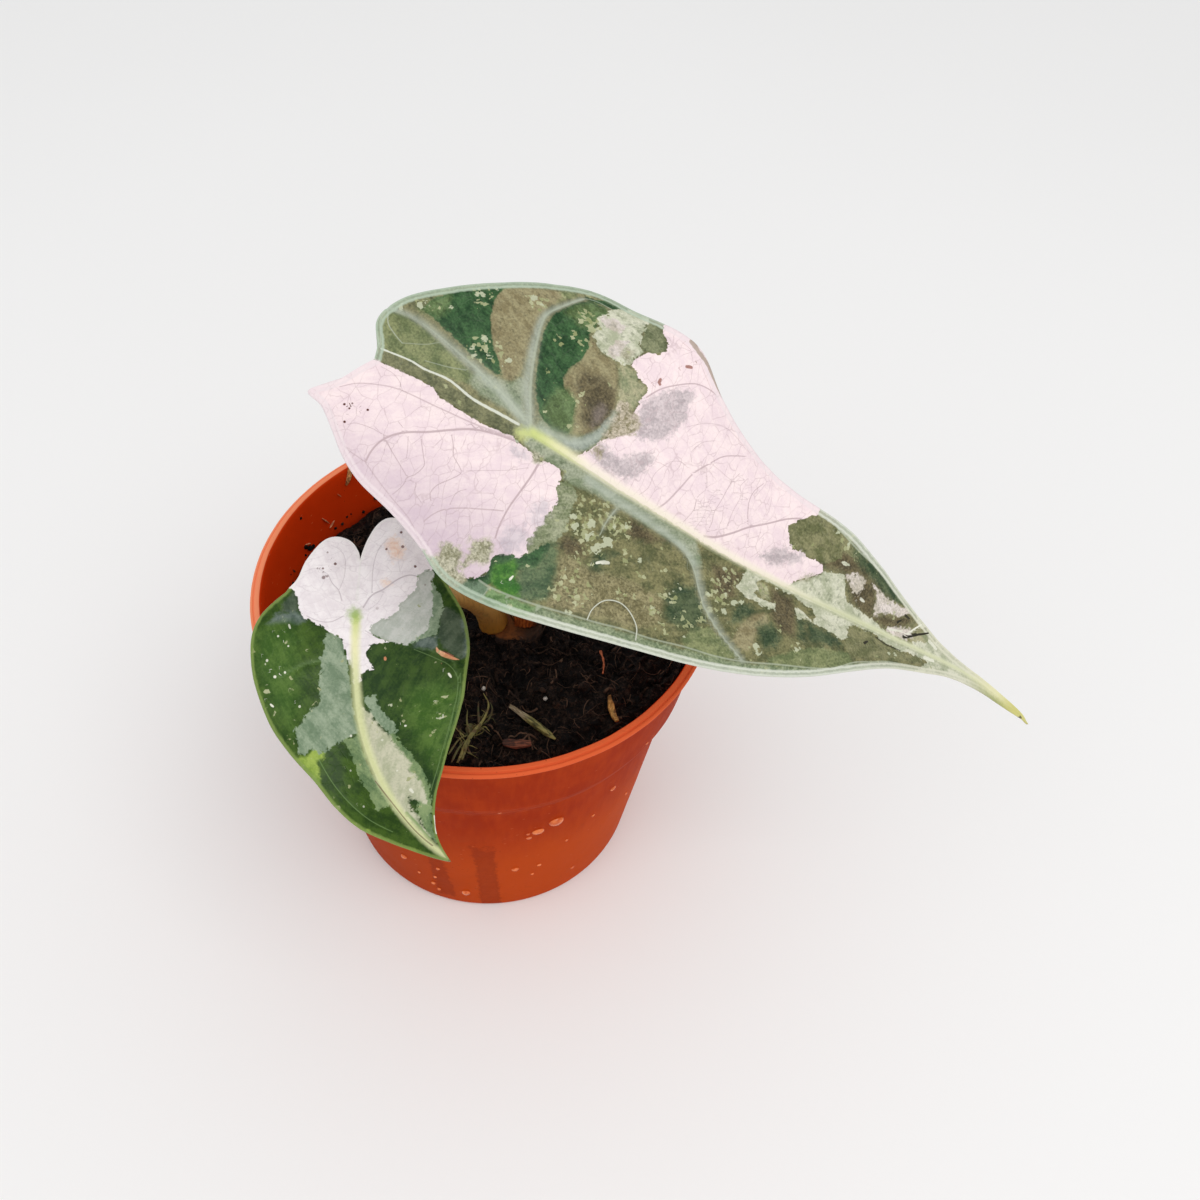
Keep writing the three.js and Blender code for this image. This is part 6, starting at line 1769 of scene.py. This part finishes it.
def make_tuft():
    random = np.random.default_rng(43)
    pile = Pile()
    ground = ground_under(np.array([TUFT_CENTRE[0]]), np.array([TUFT_CENTRE[1]]), 1.5)[0] + CLEARANCE
    directions, faces = ball(9, 16)
    lumps = 1 + 0.25 * lattice_noise(directions, 1.6, 51)
    crown = directions * lumps[:, None] * (0.9, 1.2, 0.6) + (*TUFT_CENTRE, ground + 0.6)
    pile.add(crown, faces, 0.2)
    strands = list(TUFT_STRANDS)
    for _ in range(TUFT_WISPS):
        turn = random.normal(1.1, 1.1)
        length = random.uniform(1.4, 3.2)
        start = np.array([-0.8, -5.5]) + random.random() * np.array([3.2, 8]) + random.uniform(-0.5, 0.5, 2)
        ahead = np.array([math.cos(turn), math.sin(turn)]) * length
        bend = random.uniform(-0.6, 0.6, 2)
        lift = random.uniform(0.8, 2.2)
        points = [(*start, 0.5), (*(start + ahead / 2 + bend), lift), (*(start + ahead), random.uniform(0.3, 2))]
        strands.append((points, random.uniform(0.08, 0.14)))
    share = np.linspace(0, 1, 28)
    for points, half_width in strands:
        path = even_path(np.array(points) + (*TUFT_CENTRE, ground), 28)
        floor = soil_surface(path[:, 0], path[:, 1]) + half_width
        path[:, 2] = np.maximum(path[:, 2], floor)
        width = half_width * (1 - 0.8 * share ** 2.2) * (0.55 + 0.45 * np.minimum(1, share * 6))
        pile.add(*skin(tube_rings(path, width, 10, 0.45, level=True)), random.random())
    shader = Shader("seedling_blade", specular_ior_level=0.4)
    tint = shader.value("tint")
    cloud = shader.noise(shader.place(), 0.8, 3)
    base = shader.mix(tint, colour(62, 66, 28), colour(132, 126, 68))
    base = shader.mix(shader.step(cloud, 0.48, 0.62, 0.0, 0.75), base, colour(78, 54, 32))
    return show(pile.make("seedling_tuft", shader.finish(base, 0.55, cloud, depth=0.1)), "grass", "grass_tuft")


def make_wall_bits():
    """Peat crumbs that stick to the inside of the pot, most of them just above the soil."""
    random = np.random.default_rng(31)
    pile = Pile()
    directions, faces = ball(6, 9)
    spots = [(160.9, 73.4, 0.4), (161.6, 65.4, 0.7), (163, 66.6, 0.5), (160, 64.8, 0.6), (-20, 66, 0.5), (-38, 67, 0.4)]
    for _ in range(110):
        height = 63.2 + 3 * random.random() ** 2
        spots.append((random.uniform(0, 360), height, random.uniform(0.2, 0.5)))
    for angle, height, size in spots:
        lumps = 1 + 0.35 * lattice_noise(directions, 1.7, random.integers(1000))
        shape = (directions * lumps[:, None] * size * random.uniform(0.6, 1.2, 3)) @ random_turn(random)
        centre = on_pot(angle, height, -POT_WALL - 0.25 * size)
        pile.add(shape + centre, faces, random.random() * 0.9)
    return show(pile.make("wall_crumbs", soil_material("wall_crumb", *SOIL_TONES)), "soil")


# Dry slivers on the inside of the pot: angle and height of both ends, and half width
WALL_SLIVERS = [
    (153.6, 69, 151.6, 66.4, 0.3), (152, 65.3, 149.6, 66.2, 0.26), (162.8, 67.2, 160.6, 66.3, 0.24),
    (146, 71.6, 145, 70.4, 0.2), (-27, 69.4, -26.4, 67.8, 0.32), (-29, 66, -28, 64.8, 0.26),
]


def make_wall_slivers():
    pile = Pile()
    share = np.linspace(0, 1, 14)
    for start_angle, start_height, end_angle, end_height, half_width in WALL_SLIVERS:
        angle = start_angle + (end_angle - start_angle) * share
        height = start_height + (end_height - start_height) * share
        path = on_pot(angle, height, -POT_WALL - 0.3 - 0.4 * np.sin(np.pi * share)[0])
        width = half_width * np.sin(np.pi * (0.12 + 0.8 * share))
        pile.add(*skin(tube_rings(path, width, 10, 0.5)))
    husk = litter_material("sliver_skin", colour(176, 106, 70), colour(228, 160, 120), colour(150, 84, 50))
    return show(pile.make("wall_slivers", husk), "husk")


def make_rim_husk():
    foot = on_pot(142.5, 72.4, -POT_WALL - 0.3)
    top = on_pot(139.4, 76.9, -POT_WALL - 0.9)
    path = even_path([foot, (foot + top) / 2 + (0.3, -0.2, 0), top], 24)
    share = np.linspace(0, 1, 24)
    rings = tube_rings(path, 0.75 * np.sin(np.pi * (0.15 + 0.75 * share)), 14, 0.35)
    husk = litter_material("rim_husk_skin", colour(140, 92, 46), colour(206, 158, 98), colour(96, 58, 30))
    return show(make_object("rim_husk", *skin(rings), [husk]), "husk")


def make_leaf_fibre():
    """One pale curled fibre that lies on the large leaf."""
    s, t = even_path([(20.4, -21.6), (20.5, -19.6), (21.6, -17.6), (23.6, -16.7), (25.6, -17.2), (27.4, -18.9), (28, -21)], 48).T
    path = LARGE.place(s, t, -0.85)
    shader = Shader("pale_fibre", specular_ior_level=0.4)
    base = shader.mix(shader.noise(shader.place(), 1.0), colour(186, 190, 172), colour(214, 216, 200))
    return show(make_object("leaf_fibre", *skin(tube_rings(path, 0.1, 8)), [shader.finish(base, 0.5)]), "husk")


# Camera, light and floor
def make_camera():
    data = bpy.data.cameras.new("camera")
    data.lens = LENS
    data.sensor_width = SENSOR
    data.clip_start = 0.01
    camera = bpy.data.objects.new("camera", data)
    bpy.context.collection.objects.link(camera)
    tilt = Matrix.Rotation(math.radians(90 - CAMERA_ELEVATION), 4, "X")
    roll = Matrix.Rotation(math.radians(CAMERA_ROLL), 4, "Z")
    camera.matrix_world = Matrix.Translation(Vector(CAMERA_PLACE) * MM) @ tilt @ roll
    bpy.context.scene.camera = camera


def make_light(name, place, target, size, energy, tone):
    data = bpy.data.lights.new(name, "AREA")
    data.shape = "DISK"
    data.size = size
    data.energy = energy
    data.color = tone
    light = bpy.data.objects.new(name, data)
    bpy.context.collection.objects.link(light)
    light.location = place
    light.rotation_euler = (Vector(target) - Vector(place)).to_track_quat("-Z", "Y").to_euler()


def make_studio():
    world = bpy.data.worlds.new("studio")
    world.use_nodes = True
    background = world.node_tree.nodes["Background"]
    background.inputs["Color"].default_value = (1.0, 1.0, 1.0, 1.0)
    background.inputs["Strength"].default_value = 0.76
    bpy.context.scene.world = world
    make_light("sky_window", (0.4, -0.45, 1.05), (0, 0, 0.08), 0.7, 3.6, (1.0, 0.985, 0.96))
    make_light("left_fill", (-0.7, -0.5, 0.9), (0.02, 0, 0.06), 0.9, 1.2, (1.0, 1.0, 1.0))
    mesh = bpy.data.meshes.new("floor")
    reach = 3
    corners = [(-reach, -reach, 0), (reach, -reach, 0), (reach, reach, 0), (-reach, reach, 0)]
    mesh.from_pydata(corners, [], [(0, 1, 2, 3)])
    floor = bpy.data.objects.new("floor", mesh)
    bpy.context.collection.objects.link(floor)
    shader = Shader("pale_floor", specular_ior_level=0.1)
    cloud = shader.noise(shader.place(), 0.004, 2)
    mesh.materials.append(shader.finish(shader.mix(cloud, colour(243, 243, 243), colour(246, 246, 246)), 0.9))
    bpy.context.scene.view_settings.view_transform = "Standard"


make_camera()
make_studio()
make_leaves()
make_pot()
make_drops()
make_soil()
make_crumbs()
make_fibres()
make_perlite()
make_rootstock()
make_stems()
make_sheath()
make_straw()
make_twig()
make_chips()
make_tuft()
make_wall_bits()
make_wall_slivers()
make_rim_husk()
make_leaf_fibre()

bpy.context.view_layer.update()
